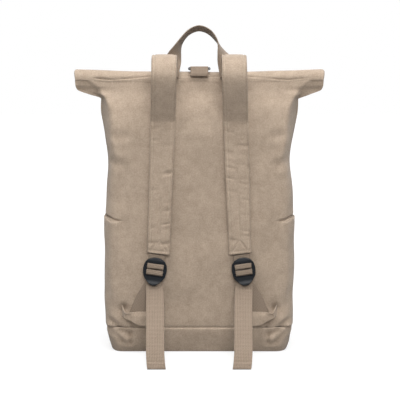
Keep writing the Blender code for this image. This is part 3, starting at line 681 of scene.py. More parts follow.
tube_shares = np.unique(np.concatenate([np.linspace(0, 0.9, 97), np.linspace(0.9, 1, 31)[1:],
                                        np.linspace(*MOUTH_ROWS)]))
turns = np.radians(np.concatenate([np.arange(3, 100, 3),
                                   np.arange(108, ROLL_TURNS * 360 + 1, 12)]))
walls = np.array([tube_loop(s) for s in tube_shares] + [roll_loop(t) for t in turns])
tube_rows = len(tube_shares)
girth = lengths(np.vstack([walls[20], walls[20][:1]]))
climb = lengths(walls[:, 0])
print("body grid:", walls.shape, "girth", round(girth[-1], 3), "length", round(climb[-1], 3))

# %% [markdown]
# ## Folds of the body
# A hanging cloth wall is never flat. Cloth simulation could fold it, but would also move the
# seams, so the folds are drawn: broad lumps come from smooth noise, and creases follow lines of
# (x, z) points. Each crease sinks a narrow groove and raises the cloth beside it. Under the
# straps the wall may only sink, so that nothing pokes through them.

# %% Lines of the folds
HORN_CREASE = [(0.1820, 0.4150), (0.1752, 0.4156), (0.1683, 0.4143), (0.1628, 0.4092),
               (0.1558, 0.4036), (0.1500, 0.3976), (0.1430, 0.3868), (0.1385, 0.3795),
               (0.1352, 0.3725), (0.1330, 0.3640), (0.1310, 0.3480), (0.1295, 0.3200),
               (0.1285, 0.2980)]
HORN_LINE = np.array(HORN_CREASE)[1:][::-1]
ROLL_SEAM = [(0.0, 0.4190), (0.06, 0.4190), (0.085, 0.4180), (0.100, 0.4165), (0.130, 0.4140),
             (0.155, 0.4160), (0.190, 0.4190)]
POCKET_SLIT = [(0.1480, 0.2110), (0.1400, 0.2083), (0.1300, 0.2046), (0.1180, 0.2023)]
CREASES = [
    # line of the crease, depth, width, ridge beside it
    ([(0.139, 0.055), (0.125, 0.041), (0.107, 0.029)], 0.0042, 0.0045, 0.0022),
    ([(0.1045, 0.052), (0.1035, 0.030), (0.1055, 0.014)], 0.0034, 0.0034, 0.0016),
    ([(0.134, 0.036), (0.122, 0.026), (0.116, 0.016)], 0.0020, 0.0040, 0.0012),
    ([(0.140, 0.105), (0.134, 0.082), (0.131, 0.062)], 0.0018, 0.0070, 0.0010),
    ([(0.112, 0.300), (0.119, 0.250), (0.123, 0.215)], 0.0018, 0.0100, 0.0008),
    ([(0.138, 0.299), (0.126, 0.290), (0.110, 0.286)], 0.0018, 0.0075, 0.0010),
    ([(0.134, 0.337), (0.120, 0.330), (0.100, 0.331)], 0.0012, 0.0070, 0.0008),
    ([(0.101, 0.140), (0.110, 0.170), (0.112, 0.215)], 0.0014, 0.0090, 0.0008),
    ([(0.030, 0.335), (0.012, 0.352), (-0.004, 0.372)], 0.0012, 0.0090, 0.0008),
]
BASE_CREASES = CREASES[:3]             # these run on over the base
TAB_DENT = 0.1150, 0.0695, 0.0090      # x, z and depth of the hollow above each corner tab
print("creases:", len(CREASES), "of which on the base:", len(BASE_CREASES))


# %% Walls and creases
BROAD, SMALL = (0.075, 0.0026), (0.030, 0.0011)     # size and height of the cloth's lumps
FREE_RISE, STRAP_RISE = 0.003, 0.0001               # most that a free and a covered wall rise


def crease(far, depth, width, ridge):
    """Push of one crease at a distance from its line."""
    return ridge * bell(far, width * 1.7, width) - depth * bell(far, 0, width)


def here_is_strap(x, z):
    """1 where a strap, buckle or tab lies on the back wall, fading to 0 beside it."""
    under_strap = ease((0.030 - abs(abs(x) - 0.058)) / 0.008)
    under_tab = ease((0.026 - abs(abs(x) - 0.098)) / 0.006) * ease((0.095 - z) / 0.02)
    return np.maximum(under_strap, under_tab)


def body_push(points, out):
    """How far each point of the body moves outwards."""
    x, z = points[..., 0], points[..., 2]
    back = ease(-out[..., 1] * 2 - 0.3)
    free = ease((z - BASE_HEIGHT) / 0.05) * ease((0.425 - z) / 0.04)
    push = free * (BROAD[1] * cloud(points, BROAD[0], 1) + SMALL[1] * cloud(points, SMALL[0], 2))
    push -= free * 0.0012 * back
    for hand in (-1, 1):
        here = back * (x * hand > 0)
        for line, depth, width, ridge in CREASES:
            far, share = off_line(x * hand, z, line)
            push += here * fading(share, 0.25) * crease(far, depth, width, ridge)
        dent_x, dent_z, depth = TAB_DENT
        push -= here * depth * bell(x * hand, dent_x, 0.0050) * bell(z, dent_z, 0.0065)
    under = here_is_strap(x, z) * back
    return np.minimum(push, mix(FREE_RISE, STRAP_RISE, under))


# %% [markdown]
# ## Horns of the roll
# Where the wide flat mouth meets the narrower tube, the cloth folds back under each end of the
# roll. Pushing points along their normals would tangle them there, so the cloth outside the
# fold line drops straight back, as far as the front wall behind it leaves room.


# %% Horns
HORN_DROP, HORN_RUN = 0.015, 0.012     # how far the cloth drops, and over what distance
ROOM_SHARE = 0.5                       # of the room in front of the other wall


def beyond_crease(x, z):
    """Distance outside the horn's fold line, negative inside it, and how strong the fold is."""
    far, share = off_line(x, z, HORN_CREASE)
    line_x = np.interp(z, HORN_LINE[:, 1], HORN_LINE[:, 0])
    return np.where(x > line_x, far, -far), ease((1 - share) / 0.5) * ease((z - 0.29) / 0.03)


def horn_recess(points):
    """How far the cloth outside the horn's fold line drops back, never through the front wall."""
    x, z = abs(points[..., 0]), points[..., 2]
    column = np.arange(4 * QUARTER)
    back = np.where(abs(column - 2 * QUARTER) > QUARTER, 1.0, 0.0)
    beyond, fold = beyond_crease(x, z)
    opposite = np.roll(points[:, ::-1], 2 * QUARTER + 1, axis=1)
    room = np.clip((opposite[..., 1] - points[..., 1]) * ROOM_SHARE, 0, 1)
    drop = np.minimum(HORN_DROP * np.clip(beyond / HORN_RUN, 0, 1) ** 0.75, room)
    return back * fold * (drop - 0.0008 * bell(beyond, -0.0040, 0.0050))


# %% Folded body
out = normals(walls, True)
push = body_push(walls, out)
push[tube_rows:] = 0
body_points = walls + out * push[..., None]
body_points[:tube_rows, :, 1] += horn_recess(walls)[:tube_rows]
print("folds from", round(push.min(), 4), "to", round(push.max(), 4))

# %% [markdown]
# ## Roll
# Many layers lie in the roll, so it is plump: its first turn swells towards the ends and on top.
# A sewn seam runs along it below, as a groove that the slack cloth breaks here and there. A
# cylinder would show neither, so the roll is the same grid as the walls, wound on round its axis.

# %% Roll
roll_rows, roll_out = body_points[tube_rows:], out[tube_rows:]
x, z = roll_rows[..., 0], roll_rows[..., 2]
lump = 0.0009 * cloud(roll_rows, 0.055, 4) - 0.0002
high = np.clip(np.sin(turns), 0, 1)[:, None] * (0.0012 + 0.0012 * ease((abs(x) - 0.05) / 0.06))
push = (lump + high) * ease((2 * math.pi - turns) / 1.5)[:, None]
seam_off = z - np.interp(abs(x), *np.array(ROLL_SEAM).T)
broken = 0.55 + 0.45 * np.clip(2.5 * cloud(roll_rows * (1, 0, 0), 0.018, 11), -1, 1)
groove = 0.0016 * broken * bell(seam_off, -0.0002, 0.0011)
seam_side = (turns < 1.5)[:, None] * ease((0.168 - abs(x)) / 0.02)
push += seam_side * (0.0007 * bell(seam_off, 0.0035, 0.0030) - groove)
body_points[tube_rows:] += roll_out * push[..., None]
print("roll swells by", round(push.max(), 4))

# %% Hem and pocket slits
HEM_TUCK, HEM_DROP = 0.007, 0.0009     # share drawn in behind the base's rim, and how far down
SLIT_DEPTH = 0.0036                    # dark line where a pocket's mouth meets the wall

body_points[0, :, :2] *= 1 - HEM_TUCK
body_points[0, :, 2] -= HEM_DROP
plain_walls = body_points.copy()
far, share = off_line(abs(walls[..., 0]), walls[..., 2], POCKET_SLIT)
slit = SLIT_DEPTH * bell(far, 0, 0.0014) * fading(share, 0.1) * (out[..., 1] < 0)
body_points -= out * slit[..., None]
print("slits:", round(slit.max(), 4), "deep")

# %% Body mesh
body_mesh = grid_mesh("bag_body", body_points, True, girth, climb)
body = thick(piece("bag_body", body_mesh, canvas), CLOTH)
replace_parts(body, "back_panel", "front_panel", "side_panel_left", "side_panel_right", "roll_top")
print("body faces:", len(body_mesh.polygons))

# %% [markdown]
# ## Base
# The base is a shallow canvas tray, sewn to the body all round. Its walls lean in to a
# smaller flat underside. A box with bevelled edges would be too stiff, so it is made as the body
# is, row by row from the rim down, and is then closed by rings that shrink to its middle.

# %% Base rows
BASE = [
    # share of the height, share of the tuck
    (1.00, 0.00), (0.66, 0.14), (0.34, 0.38), (0.12, 0.66), (0.03, 0.80), (0.0, 0.92),
]
UNDERSIDE = 0.96, 0.85, 0.6, 0.3, 0.02     # rings of the flat underside, as shares of its edge
REST = 0.0004                              # underside to the floor

base_rows = []
for share in np.linspace(1, 0, 18) ** 1.4:
    loop = tube_loop(0.0, inset=BASE_TUCK * np.interp(share, *np.array(BASE)[::-1].T))
    loop[:, 2] = max(BASE_HEIGHT * share - GAP, REST)
    base_rows.append(loop)
edge = base_rows[-1]
base_rows += [edge * (shrink, shrink, 1) for shrink in UNDERSIDE]
base_points = np.array(base_rows)[::-1]
print("base grid:", base_points.shape)

# %% Base
out = normals(base_points, True)
x, z = base_points[..., 0], base_points[..., 2]
sink = np.zeros(x.shape)
lift = ease(z / 0.012) * ease((BASE_HEIGHT - z) / 0.006)
for line, depth, width, ridge in BASE_CREASES:
    far, share = off_line(abs(x), z, line)
    sink += (out[..., 1] < -0.2) * crease(far, depth, width, ridge)
sink += 0.0016 * cloud(base_points, 0.05, 6) + 0.0006 * cloud(base_points, 0.02, 8)
base_points = base_points + out * (sink * lift)[..., None]
base_mesh = grid_mesh("bag_base", base_points, True, girth, lengths(base_points[:, 0]))
base = thick(piece("bag_base", base_mesh, canvas), CLOTH)
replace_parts(base, "base_panel")
print("base faces:", len(base_mesh.polygons))

# %% [markdown]
# ## Side pockets
# A slip pocket covers the lower half of each side. A separate flat sheet would cut through the
# folds of the wall behind it, so it copies the wall's own points, pushed outwards: sunk in at
# the seams, and standing off a little at the mouth, where a hand goes in.

# %% Side pockets
POCKET_ROWS = 60
MOUTH_DROP = 0.0066        # the mouth hangs lower where it meets the back wall
SEAM_SINK = 0.0008         # the pocket's edges, sunk in the wall


def wall_at(height):
    """The body's loop at a height, folds and all."""
    z = plain_walls[:tube_rows, 0, 2]
    k = int(np.clip(np.searchsorted(z, height) - 1, 0, tube_rows - 2))
    return mix(plain_walls[k], plain_walls[k + 1], (height - z[k]) / (z[k + 1] - z[k]))


def pocket(label, side):
    """One pocket and its grid of points."""
    heights = np.linspace(BASE_HEIGHT + GAP, POCKET_TOP, POCKET_ROWS)
    loops = np.array([wall_at(h) for h in heights])
    first = int(np.argmin(abs(loops[0, :QUARTER, 0] - SEAM_X)))
    picked = np.arange(first, 2 * QUARTER - first + 1)
    if side < 0:
        picked = (4 * QUARTER - picked)[::-1] % (4 * QUARTER)
    grid = loops[:, picked]
    out = normals(grid, False)
    rise = np.linspace(0, 1, POCKET_ROWS)[:, None]
    gone = lengths(grid[0])
    inside = np.minimum(gone, gone[-1] - gone)[None]
    stand = mix(-SEAM_SINK, CLOTH + GAP, ease(inside / mix(0.012, 0.003, rise ** 8)))
    stand = stand + 0.0004 * rise ** 12 * ease(inside / 0.008)
    grid = grid + out * stand[..., None]
    grid[..., 2] -= MOUTH_DROP * ease((-0.038 - grid[..., 1]) / 0.020) * rise ** 8
    mesh = grid_mesh(f"side_pocket_{label}", grid, False,
                     lengths(grid[0]), lengths(grid[:, len(picked) // 2]))
    made = thick(piece(f"side_pocket_{label}", mesh, canvas), CLOTH)
    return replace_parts(made, f"side_pocket_{label}"), grid


pockets = {}
for label, side in (("left", -1), ("right", 1)):
    made, grid = pocket(label, side)
    pockets[label] = grid

# %% [markdown]
# ## Stitches
# Sewing shows as a row of short thread beads, each sunk a little in the cloth. A bump in the
# material would vanish at the outline, and an object for each bead would be slow. So one mesh
# holds all the beads of a piece, and hundreds of stitches stay light.

# %% Stitches
STITCH = 0.0030            # from one needle hole to the next
THREAD = 0.00028           # thread's radius
SIDES = 5                  # of a bead's cross section
BEAD = [(-0.40, 0.15), (-0.28, 0.8), (0.0, 1.0), (0.28, 0.8), (0.40, 0.15)]   # along, size


def read_along(values, along, where):
    """Rows of a table, read at distances along their line."""
    return np.stack([np.interp(where, along, values[:, c]) for c in range(values.shape[1])], -1)


def stitch_points(line, out):
    """Beads along a line of points with outward directions: vertices and faces."""
    along = lengths(line)
    count = max(int(along[-1] / STITCH), 1)
    at = (np.arange(count) + 0.5) / count * along[-1]
    middle, up = read_along(line, along, at), unit(read_along(out, along, at))
    way = unit(read_along(line, along, at + STITCH * 0.2)
               - read_along(line, along, at - STITCH * 0.2))
    side = np.cross(way, up)
    points = np.stack([middle + way * share * STITCH + THREAD * size
                       * (side * math.cos(turn) + up * (math.sin(turn) + 0.3 * size))
                       for share, size in BEAD
                       for turn in np.arange(SIDES) * 2 * math.pi / SIDES], 1)
    faces = []
    each = SIDES * len(BEAD)
    for start in range(0, count * each, each):
        last = start + each - SIDES
        for ring in range(start, last, SIDES):
            faces += [[ring + c, ring + (c + 1) % SIDES, ring + SIDES + (c + 1) % SIDES,
                       ring + SIDES + c] for c in range(SIDES)]
        faces += [[start + c for c in reversed(range(SIDES))], [last + c for c in range(SIDES)]]
    return points.reshape(-1, 3), faces


def stitching(name, rows):
    """One piece for several rows of stitches, each a line and its outward directions."""
    vertices, faces = [], []
    for line, out in rows:
        points, quads = stitch_points(line, out)
        faces += [[v + len(vertices) for v in q] for q in quads]
        vertices += points.tolist()
    mesh = bpy.data.meshes.new(name)
    mesh.from_pydata(vertices, [], faces)
    mesh.uv_layers.new(name="UVMap")
    return piece(name, mesh, thread)


# %% [markdown]
# ## Seams of the body
# Three kinds of seam show their thread: along the roll, round the base and under the mouth of
# each pocket. Drawn curves would float over the folds or sink in them, so each line is read from
# the finished grid and follows every dent.


# %% Seams of the body
SEAM_COLUMNS = 45              # of the back wall, each way from its middle
UNDER_GROOVE = 0.0030          # thread below the groove along the roll


def back_line(height_at):
    """Points along the back wall, from left to right, at a height that depends on x."""
    columns = np.r_[4 * QUARTER - SEAM_COLUMNS + 1:4 * QUARTER, 0:SEAM_COLUMNS]
    rows = slice(tube_rows - 14, tube_rows + 24)
    line, away = [], []
    for c in columns:
        z = body_points[rows, c, 2]
        at = height_at(abs(body_points[tube_rows, c, 0]))
        line.append([np.interp(at, z, body_points[rows, c, a]) for a in range(3)])
        away.append([np.interp(at, z, body_out[rows, c, a]) for a in range(3)])
    return np.array(line), unit(np.array(away))


body_out = normals(body_points, True)
seam_x, seam_z = np.array(ROLL_SEAM).T
roll_line = back_line(lambda x: np.interp(x, seam_x, seam_z - UNDER_GROOVE))
stitching("roll_stitching", [roll_line])
ring = np.r_[0:4 * QUARTER, 0]
base_out = body_out[1, ring]
stitching("base_stitching", [(body_points[1, ring] + base_out * THREAD * 0.3, base_out)])
for label, grid in pockets.items():
    stitching(f"pocket_stitching_{label}", [(grid[-4], normals(grid, False)[-4])])
print("stitched length of the roll:", round(lengths(roll_line[0])[-1], 3))

# %% [markdown]
# ## Shoulder straps
# Each strap is padded canvas with turned edges. It leaves the seam, stands up in an arch and
# comes back to lie on the wall. An inflated cushion would lose the arch, so a band follows a
# smooth path, and a push function pads it between its seams and adds the puckers.

# %% Strap path
STRAP_TOP, STRAP_END_WIDTH, STRAP_THICK = 0.0370, 0.0340, 0.005
STRAP_X_SEAM, STRAP_X_TOP, STRAP_X_END, STRAP_END = 0.0510, 0.0542, 0.0612, 0.1535
ARCH_RISE, ARCH_REACH, ARCH_DROP = 0.0305, 0.056, 0.066
HANDLE_THICK = 0.002
ARCH = [
    # shares of the reach outwards, the rise and the drop
    (0.00, 0.00, 0.00), (0.01, 0.30, 0.00), (0.05, 0.64, 0.00), (0.17, 0.91, 0.00),
    (0.35, 1.00, 0.00), (0.55, 0.97, 0.00), (0.74, 0.82, 0.00), (0.90, 0.53, 0.00),
    (0.98, 0.18, 0.00), (0.98, 0.00, 0.06), (0.92, 0.00, 0.20), (0.83, 0.00, 0.34),
    (0.72, 0.00, 0.48), (0.60, 0.00, 0.62), (0.48, 0.00, 0.76), (0.38, 0.00, 0.89),
]


def back_face(z):
    """Y of the back wall at a height."""
    return mix(WALL_BACK, ROLL_BACK, through(TUBE, (z - BASE_HEIGHT) / TUBE_HEIGHT)[:, 2])


def strap_path():
    """Middle line of the left strap in even steps, and the height where it meets the wall."""
    start = ROLL_BACK - GAP - HANDLE_THICK - GAP - STRAP_THICK / 2
    points = [(-mix(STRAP_X_SEAM, STRAP_X_TOP, drop), start - ARCH_REACH * reach,
               SEAM_Z + ARCH_RISE * rise - ARCH_DROP * drop) for reach, rise, drop in ARCH]
    foot = SEAM_Z - ARCH_DROP
    lie = 2 * GAP + STRAP_THICK / 2
    for share in (0, 0.06, 0.2, 0.4, 0.6, 0.8, 1):
        z = mix(foot, STRAP_END, share)
        lift = STRAP_THICK * 0.5 * (1 - ease(share / 0.2))
        points.append((-mix(STRAP_X_TOP, STRAP_X_END, share), back_face(z)[0] - lie - lift, z))
    path = smooth_path(points, 16)
    low = path[:, 2] < foot
    path[low, 1] = np.minimum(path[low, 1], back_face(path[low, 2]) - lie)
    return resampled(path, np.linspace(0, 1, 230)), foot


strap_line, strap_foot = strap_path()
print("strap length:", round(lengths(strap_line)[-1], 3))

# %% Strap seams and puckers
STRAP_WALL = 0.0042
STRAP_COLUMNS = 27
EDGE_SEAM = 0.0042             # edge stitching, in from the strap's edge
MIDDLE_SEAM = 0.021, 0.095     # middle stitching, where it ends and starts above the strap's end
VEE_TOP, VEE_FOOT, VEE_HALF = 0.0215, 0.0055, 0.0105   # stitched V above the strap's end
END_SLANT = 0.11               # how far the end hangs lower towards the middle of the bag


def strap_seams(a, left, half):
    """Stitched dips and the padded crown, at a across the strap with this much left to its end."""
    middle = ease((MIDDLE_SEAM[1] - left) / 0.02) * ease((left - MIDDLE_SEAM[0]) / 0.004)
    vee = abs(a) - (VEE_TOP - left) * VEE_HALF / (VEE_TOP - VEE_FOOT)
    legs = ease((VEE_TOP - left) / 0.001) * ease((left - VEE_FOOT) / 0.001)
    edges = 0.0010 * bell(abs(a), half - EDGE_SEAM, 0.0010)
    inner = 0.0014 * bell(a, 0, 0.0011) * middle + 0.0014 * bell(vee, 0, 0.0012) * legs
    hem = 0.0005 * bell(left, 0.0012, 0.0012) - 0.0009 * bell(left, 0.0042, 0.0010)
    crown = 0.0006 * (1 - (a / half) ** 2) - 0.0005 * bell(abs(a), half, 0.002)
    return hem + crown - edges - inner


def strap_puckers(a, s, half, stretch_start, total, spots):
    """Small pulls of the cloth between the seams, at random spots of the lying stretch."""
    pull = 0
    for at, edge, deep, wide in spots:
        where = stretch_start + at * (total - stretch_start - 0.012)
        across = bell(a, np.sign(edge - 0.5) * half * 0.6, 0.007)
        along = bell(s + a * 0.15, where, mix(0.0014, 0.004, wide))
        pull = pull - mix(0.0004, 0.0016, deep) * along * across
    return pull


# %% Strap shape
def strap_grid(side):
    """Points of one strap, with its widths and outlines."""
    path, along = strap_line, lengths(strap_line)
    total = along[-1]
    down = ease((strap_foot - path[:, 2]) / (strap_foot - STRAP_END))
    width = mix(STRAP_TOP, STRAP_END_WIDTH, down) * (1 + 0.012 * np.sin(along / 0.021 + side))
    half = width[:, None] / 2
    outlines = np.array([band_outline(w, STRAP_WALL, STRAP_COLUMNS) for w in width])
    spots = np.random.default_rng(7 + side).uniform(size=(22, 4))
    lies_from = along[np.nonzero((path[:, 2] < strap_foot) & (along > 0.1))[0][0]]

    def pad(a, b, s):
        face = np.sign(b) * np.minimum(abs(b) / (STRAP_WALL / 2), 1)
        pull = strap_puckers(a, s, half, lies_from, total, spots)
        return face * strap_seams(a, total - s, half) + pull * (face > 0)

    points = band_points(path, np.tile([1.0, 0, 0], (len(path), 1)), outlines, pad)
    inner = ease((points[..., 0] + STRAP_X_END - 0.004) / 0.02)
    stand = bell(path[:, 2], 0.250, 0.070) * (along > lies_from)
    points[..., 1] -= 0.0034 * inner * stand[:, None]
    hang = END_SLANT * ease((along - total + 0.035) / 0.035)
    points[..., 2] -= (outlines[..., 0] - width[:, None] * 0.1) * hang[:, None]
    return mirrored(points, side), width, outlines


def strap_stitches(points, width, side):
    """Rows of stitches along both edges and down the middle of the strap's outer face."""
    front = points[:, :STRAP_COLUMNS]
    face = side * unit(np.cross(np.gradient(front, axis=0), np.gradient(front, axis=1)))
    across = np.linspace(-1, 1, STRAP_COLUMNS) * (width[0] - STRAP_WALL) / 2
    seams = [(int(np.argmin(abs(across - hand * (width[0] / 2 - EDGE_SEAM)))), slice(3, -2))
             for hand in (-1, 1)]
    along = lengths(strap_line)
    first = int(np.argmax(along > along[-1] - 0.088))
    seams.append((STRAP_COLUMNS // 2, slice(first, -12)))
    return [(points[rows, column], face[rows, column]) for column, rows in seams]


# %% Straps
def strap(label, side):
    """One padded strap with its stitching."""
    points, width, outlines = strap_grid(side)
    mesh = grid_mesh(f"shoulder_strap_{label}", points, True, ring_across(outlines),
                     lengths(strap_line), True)
    made = piece(f"shoulder_strap_{label}", flipped(mesh, side), canvas)
    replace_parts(made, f"shoulder_strap_{label}")
    stitching(f"strap_stitching_{label}", strap_stitches(points, width, side))
    return made


for label, side in (("left", -1), ("right", 1)):
    made = strap(label, side)
print("strap faces:", len(made.data.polygons))

# %% [markdown]
# ## Webbing
# The handle, the anchors, the adjusters and the closure are all 25 mm cotton webbing. A curve
# with a flat bevel could make them, but it twists as it likes and has no UV map in metres. So
# each is a flat band that follows its own path and keeps its own side directions.


# %% Webbing helper
def web(name, path, side, mirror=-1, thickness=WEBBING * 0.9, width=WEBBING_WIDTH, push=None):
    """A band of webbing that stands for the solid of its name."""
    outlines = np.array([band_outline(w, thickness, 15) for w in np.broadcast_to(width, len(path))])
    points = mirrored(band_points(path, side, outlines, push), mirror)
    mesh = grid_mesh(name, points, True, ring_across(outlines), lengths(path), True)
    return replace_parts(piece(name, flipped(mesh, mirror), webbing), name)


# %% [markdown]
# ## Carry handle
# The handle is sewn flat into the seam at both ends and twists edge on over its arch, so its
# shaded underside faces us. A half ring would show neither the twist nor the straight feet.
# Here a short table gives one half, and the other half mirrors it.

# %% Handle
HANDLE_FOOT_X, HANDLE_RISE, HANDLE_LEAN = 0.0435, 0.0765, math.radians(16)
HANDLE = [
    # share of the way out, share of the way up, twist in degrees
    (1.00, 0.00, 0), (0.97, 0.12, 0), (0.93, 0.25, 6), (0.87, 0.39, 28), (0.80, 0.50, 52),
    (0.735, 0.60, 70), (0.66, 0.70, 82), (0.55, 0.80, 88), (0.40, 0.90, 90),
    (0.21, 0.97, 90), (0.00, 1.00, 90),
]
lean_up = np.array([0, math.sin(HANDLE_LEAN), math.cos(HANDLE_LEAN)])
lean_out = np.array([0, -math.cos(HANDLE_LEAN), math.sin(HANDLE_LEAN)])
rows = [(-x, rise, twist) for x, rise, twist in HANDLE]
rows += [(-x, rise, 180 - twist) for x, rise, twist in reversed(rows[:-1])]
rows = smooth_path([(x * HANDLE_FOOT_X, rise * HANDLE_RISE, twist) for x, rise, twist in rows], 10)
foot = np.array([0, ROLL_BACK - GAP - HANDLE_THICK / 2, SEAM_Z])
handle_path = foot + rows[:, :1] * (1, 0, 0) + rows[:, 1:2] * lean_up
twist = np.radians(rows[:, 2:])
flat = unit(np.cross(unit(np.gradient(handle_path, axis=0)), lean_out))
handle_side = -flat * np.cos(twist) + lean_out * np.sin(twist)
web("carry_handle", handle_path, handle_side, thickness=HANDLE_THICK * 0.9)
print("handle length:", round(lengths(handle_path)[-1], 3))

# %% [markdown]
# ## Buckle frame
# Each buckle lies on the wall under its strap, tilted a little. Webbing that was placed in the
# bag's own directions would have to be turned point by point. The buckle's directions u, v and
# w (across, up and outwards from its lower tip) make it easy to thread the webbing through it.

# %% Buckle directions
BUCKLE_LENGTH, BUCKLE_WIDTH, BUCKLE_TILT = 0.041, 0.0343, math.radians(8.3)
BUCKLE_SHIFT, ANCHOR_SHOW, BUCKLE_STANDOFF = 0.0020, 0.0060, 0.0045
BAR_HEIGHT, BAR_THICK, BAR_UPPER, BAR_LOWER = 0.0035, 0.0024, 0.029, 0.019
WINDOW_BOTTOM, WINDOW_TOP = 0.0112, 0.0334
buckle_up = np.array([math.sin(BUCKLE_TILT), 0, math.cos(BUCKLE_TILT)])
buckle_across = np.array([math.cos(BUCKLE_TILT), 0, -math.sin(BUCKLE_TILT)])
buckle_tip = (np.array([-STRAP_X_END - BUCKLE_SHIFT, back_face(STRAP_END)[0] - BUCKLE_STANDOFF,
                        STRAP_END]) - buckle_up * (ANCHOR_SHOW + BUCKLE_LENGTH))
print("buckle tip:", buckle_tip.round(4))


def on_buckle(u, v, w):
    """Points of the left buckle's own directions, in the frame of the bag."""
    u, v, w = (np.asarray(n, float)[..., None] for n in (u, v, w))
    return buckle_tip + buckle_across * u + buckle_up * v - np.array([0, 1, 0]) * w


def round_bar(bar):
    """Points (v, w) of webbing wrapped over the front of one bar, from above to below."""
    clear = GAP * 1.5 + WEBBING / 2
    middle = GAP + BAR_THICK / 2
    high = BAR_HEIGHT / 2 + clear
    front = middle + BAR_THICK / 2 + clear
    cut = WEBBING * 0.4
    return [(bar + high, middle - cut), (bar + high, front - cut), (bar + high - cut, front),
            (bar, front), (bar - high + cut, front), (bar - high, front - cut),
            (bar - high, middle - cut)]


# %% Anchor webbing
near, far = -WEBBING / 2, -WEBBING * 1.5 - GAP
top = BUCKLE_LENGTH + ANCHOR_SHOW - 3 * GAP
anchor = [(top, near), (WINDOW_TOP + 2 * WEBBING, near), (WINDOW_TOP - 2 * GAP, near + GAP / 2)]
anchor += round_bar(BAR_UPPER)
anchor += [(BAR_UPPER - BAR_HEIGHT * 0.69, near - WEBBING * 0.25),
           (BAR_UPPER - BAR_HEIGHT * 0.14, far + GAP), (BAR_UPPER + BAR_HEIGHT * 0.71, far),
           (WINDOW_TOP + 2 * WEBBING, far), (top, far)]
v, w = smooth_path(anchor, 6).T
anchor_path = on_buckle(0 * v, v, w)
across = np.tile(buckle_across, (len(v), 1))
for label, side in (("left", -1), ("right", 1)):
    web(f"anchor_webbing_{label}", anchor_path, across, side)
print("anchor webbing length:", round(lengths(anchor_path)[-1], 3))

# %% [markdown]
# ## Adjuster webbing
# It starts under the corner tab, climbs to the buckle, goes over the lower bar and falls to
# the floor in front. Loose webbing could be simulated, but its line is known, so a table of
# reach and drop gives it. The loose end is folded back and sewn, so it is thicker there.

# %% Threaded stretch
TAB_LENGTH, TAB_HEIGHT = 0.0385, 0.035

start = on_buckle(0, WINDOW_BOTTOM * 0.17, far)
low = np.array([-SEAM_X + TAB_LENGTH * 0.52, start[1], BASE_HEIGHT + TAB_HEIGHT * 0.33])
middle = mix(low, start, 0.55) + np.array([-1, 0, 1]) * WEBBING * 0.9
slant = unit(np.array([start[2] - low[2], 0, low[0] - start[0]]))
adjuster = [low, mix(low, middle, 0.5), middle, mix(middle, start, 0.6)]
ways = [slant, slant, mix(slant, buckle_across, 0.25), mix(slant, buckle_across, 0.65)]
threaded = [(WINDOW_BOTTOM * share, far) for share in (0.17, 0.67, 1.17)]
threaded += [(BAR_LOWER - BAR_HEIGHT * 0.43, far + GAP * 0.7),
             (BAR_LOWER + BAR_HEIGHT * 0.66, near - WEBBING * 0.38)]
threaded += round_bar(BAR_LOWER)
threaded += [(BAR_LOWER - BAR_HEIGHT * 1.49, near + WEBBING * 0.25),
             (WINDOW_BOTTOM - GAP * 0.7, near)]
adjuster += [on_buckle(0, v, w) for v, w in threaded]
ways += [buckle_across] * len(threaded)
print("threaded points:", len(adjuster))

# %% Falling tail
TAIL_REACH, TAIL_X_END = 0.0945, 0.0612
TAIL = [
    # shares of the way out, down and inwards
    (0.001, 0.05, 0.08), (0.014, 0.11, 0.16), (0.06, 0.17, 0.22), (0.15, 0.27, 0.30),
    (0.30, 0.40, 0.38), (0.49, 0.55, 0.48), (0.68, 0.70, 0.56), (0.85, 0.84, 0.66),
    (0.96, 0.95, 0.85), (1.00, 1.00, 1.00),
]

slot_end = adjuster[-1]
floor_rest = WEBBING / 4 + GAP
for reach, drop, inward in TAIL:
    adjuster.append(np.array([mix(slot_end[0], -TAIL_X_END, inward),
                              slot_end[1] - (TAIL_REACH + slot_end[1] - WALL_BACK) * reach,
                              mix(slot_end[2], floor_rest, drop)]))
    ways.append(mix(buckle_across, np.array([1.0, 0, 0]), min(1.0, 3 * drop)))
drawn = smooth_path(adjuster, 8)
even = np.linspace(0, 1, 230)
adjuster_path = resampled(drawn, even)
adjuster_ways = read_along(smooth_path(ways, 8), lengths(drawn), even * lengths(drawn)[-1])
along = lengths(adjuster_path)
print("adjuster webbing length:", round(along[-1], 3))


# %% Adjuster webbing
def folded_end(a, b, s):
    """The turned-back end is a second layer, and the web waves a little before it."""
    hem = ease((s - along[-1] + 0.010) / 0.0012)
    wave = 0.0003 * np.sin(s / 0.009) * ease((s - 0.16) / 0.05)
    return (b > 0) * hem * WEBBING * 0.7 + wave


fallen = ease((along - along[-1] + 0.150) / 0.015)
tail_width = WEBBING_WIDTH + 0.0018 * fallen
for label, side in (("left", -1), ("right", 1)):
    web(f"adjuster_webbing_{label}", adjuster_path, adjuster_ways, side, width=tail_width,
        push=folded_end)
print("tail width:", round(tail_width.max(), 4))

# %% [markdown]
# ## Corner tabs
# A canvas tab grows out of each lower side seam and holds the end of the webbing. A flat patch
# would look printed on. A small grid with a table of its upper and lower edge lets the slack
# edge stand off the wall, with a small dark hollow behind it.

# %% Corner tabs
TAB_WALL = 0.0011
TAB = [
    # share of the length, upper edge, lower edge, lift over the webbing
    (0.00, 1.00, 0.53, 0.0), (0.16, 0.69, 0.44, 1.0), (0.42, 0.71, 0.29, 1.0),
    (0.66, 0.73, 0.14, 1.0), (1.00, 0.73, 0.11, 1.0),
]
tab_over = buckle_tip[1] - GAP


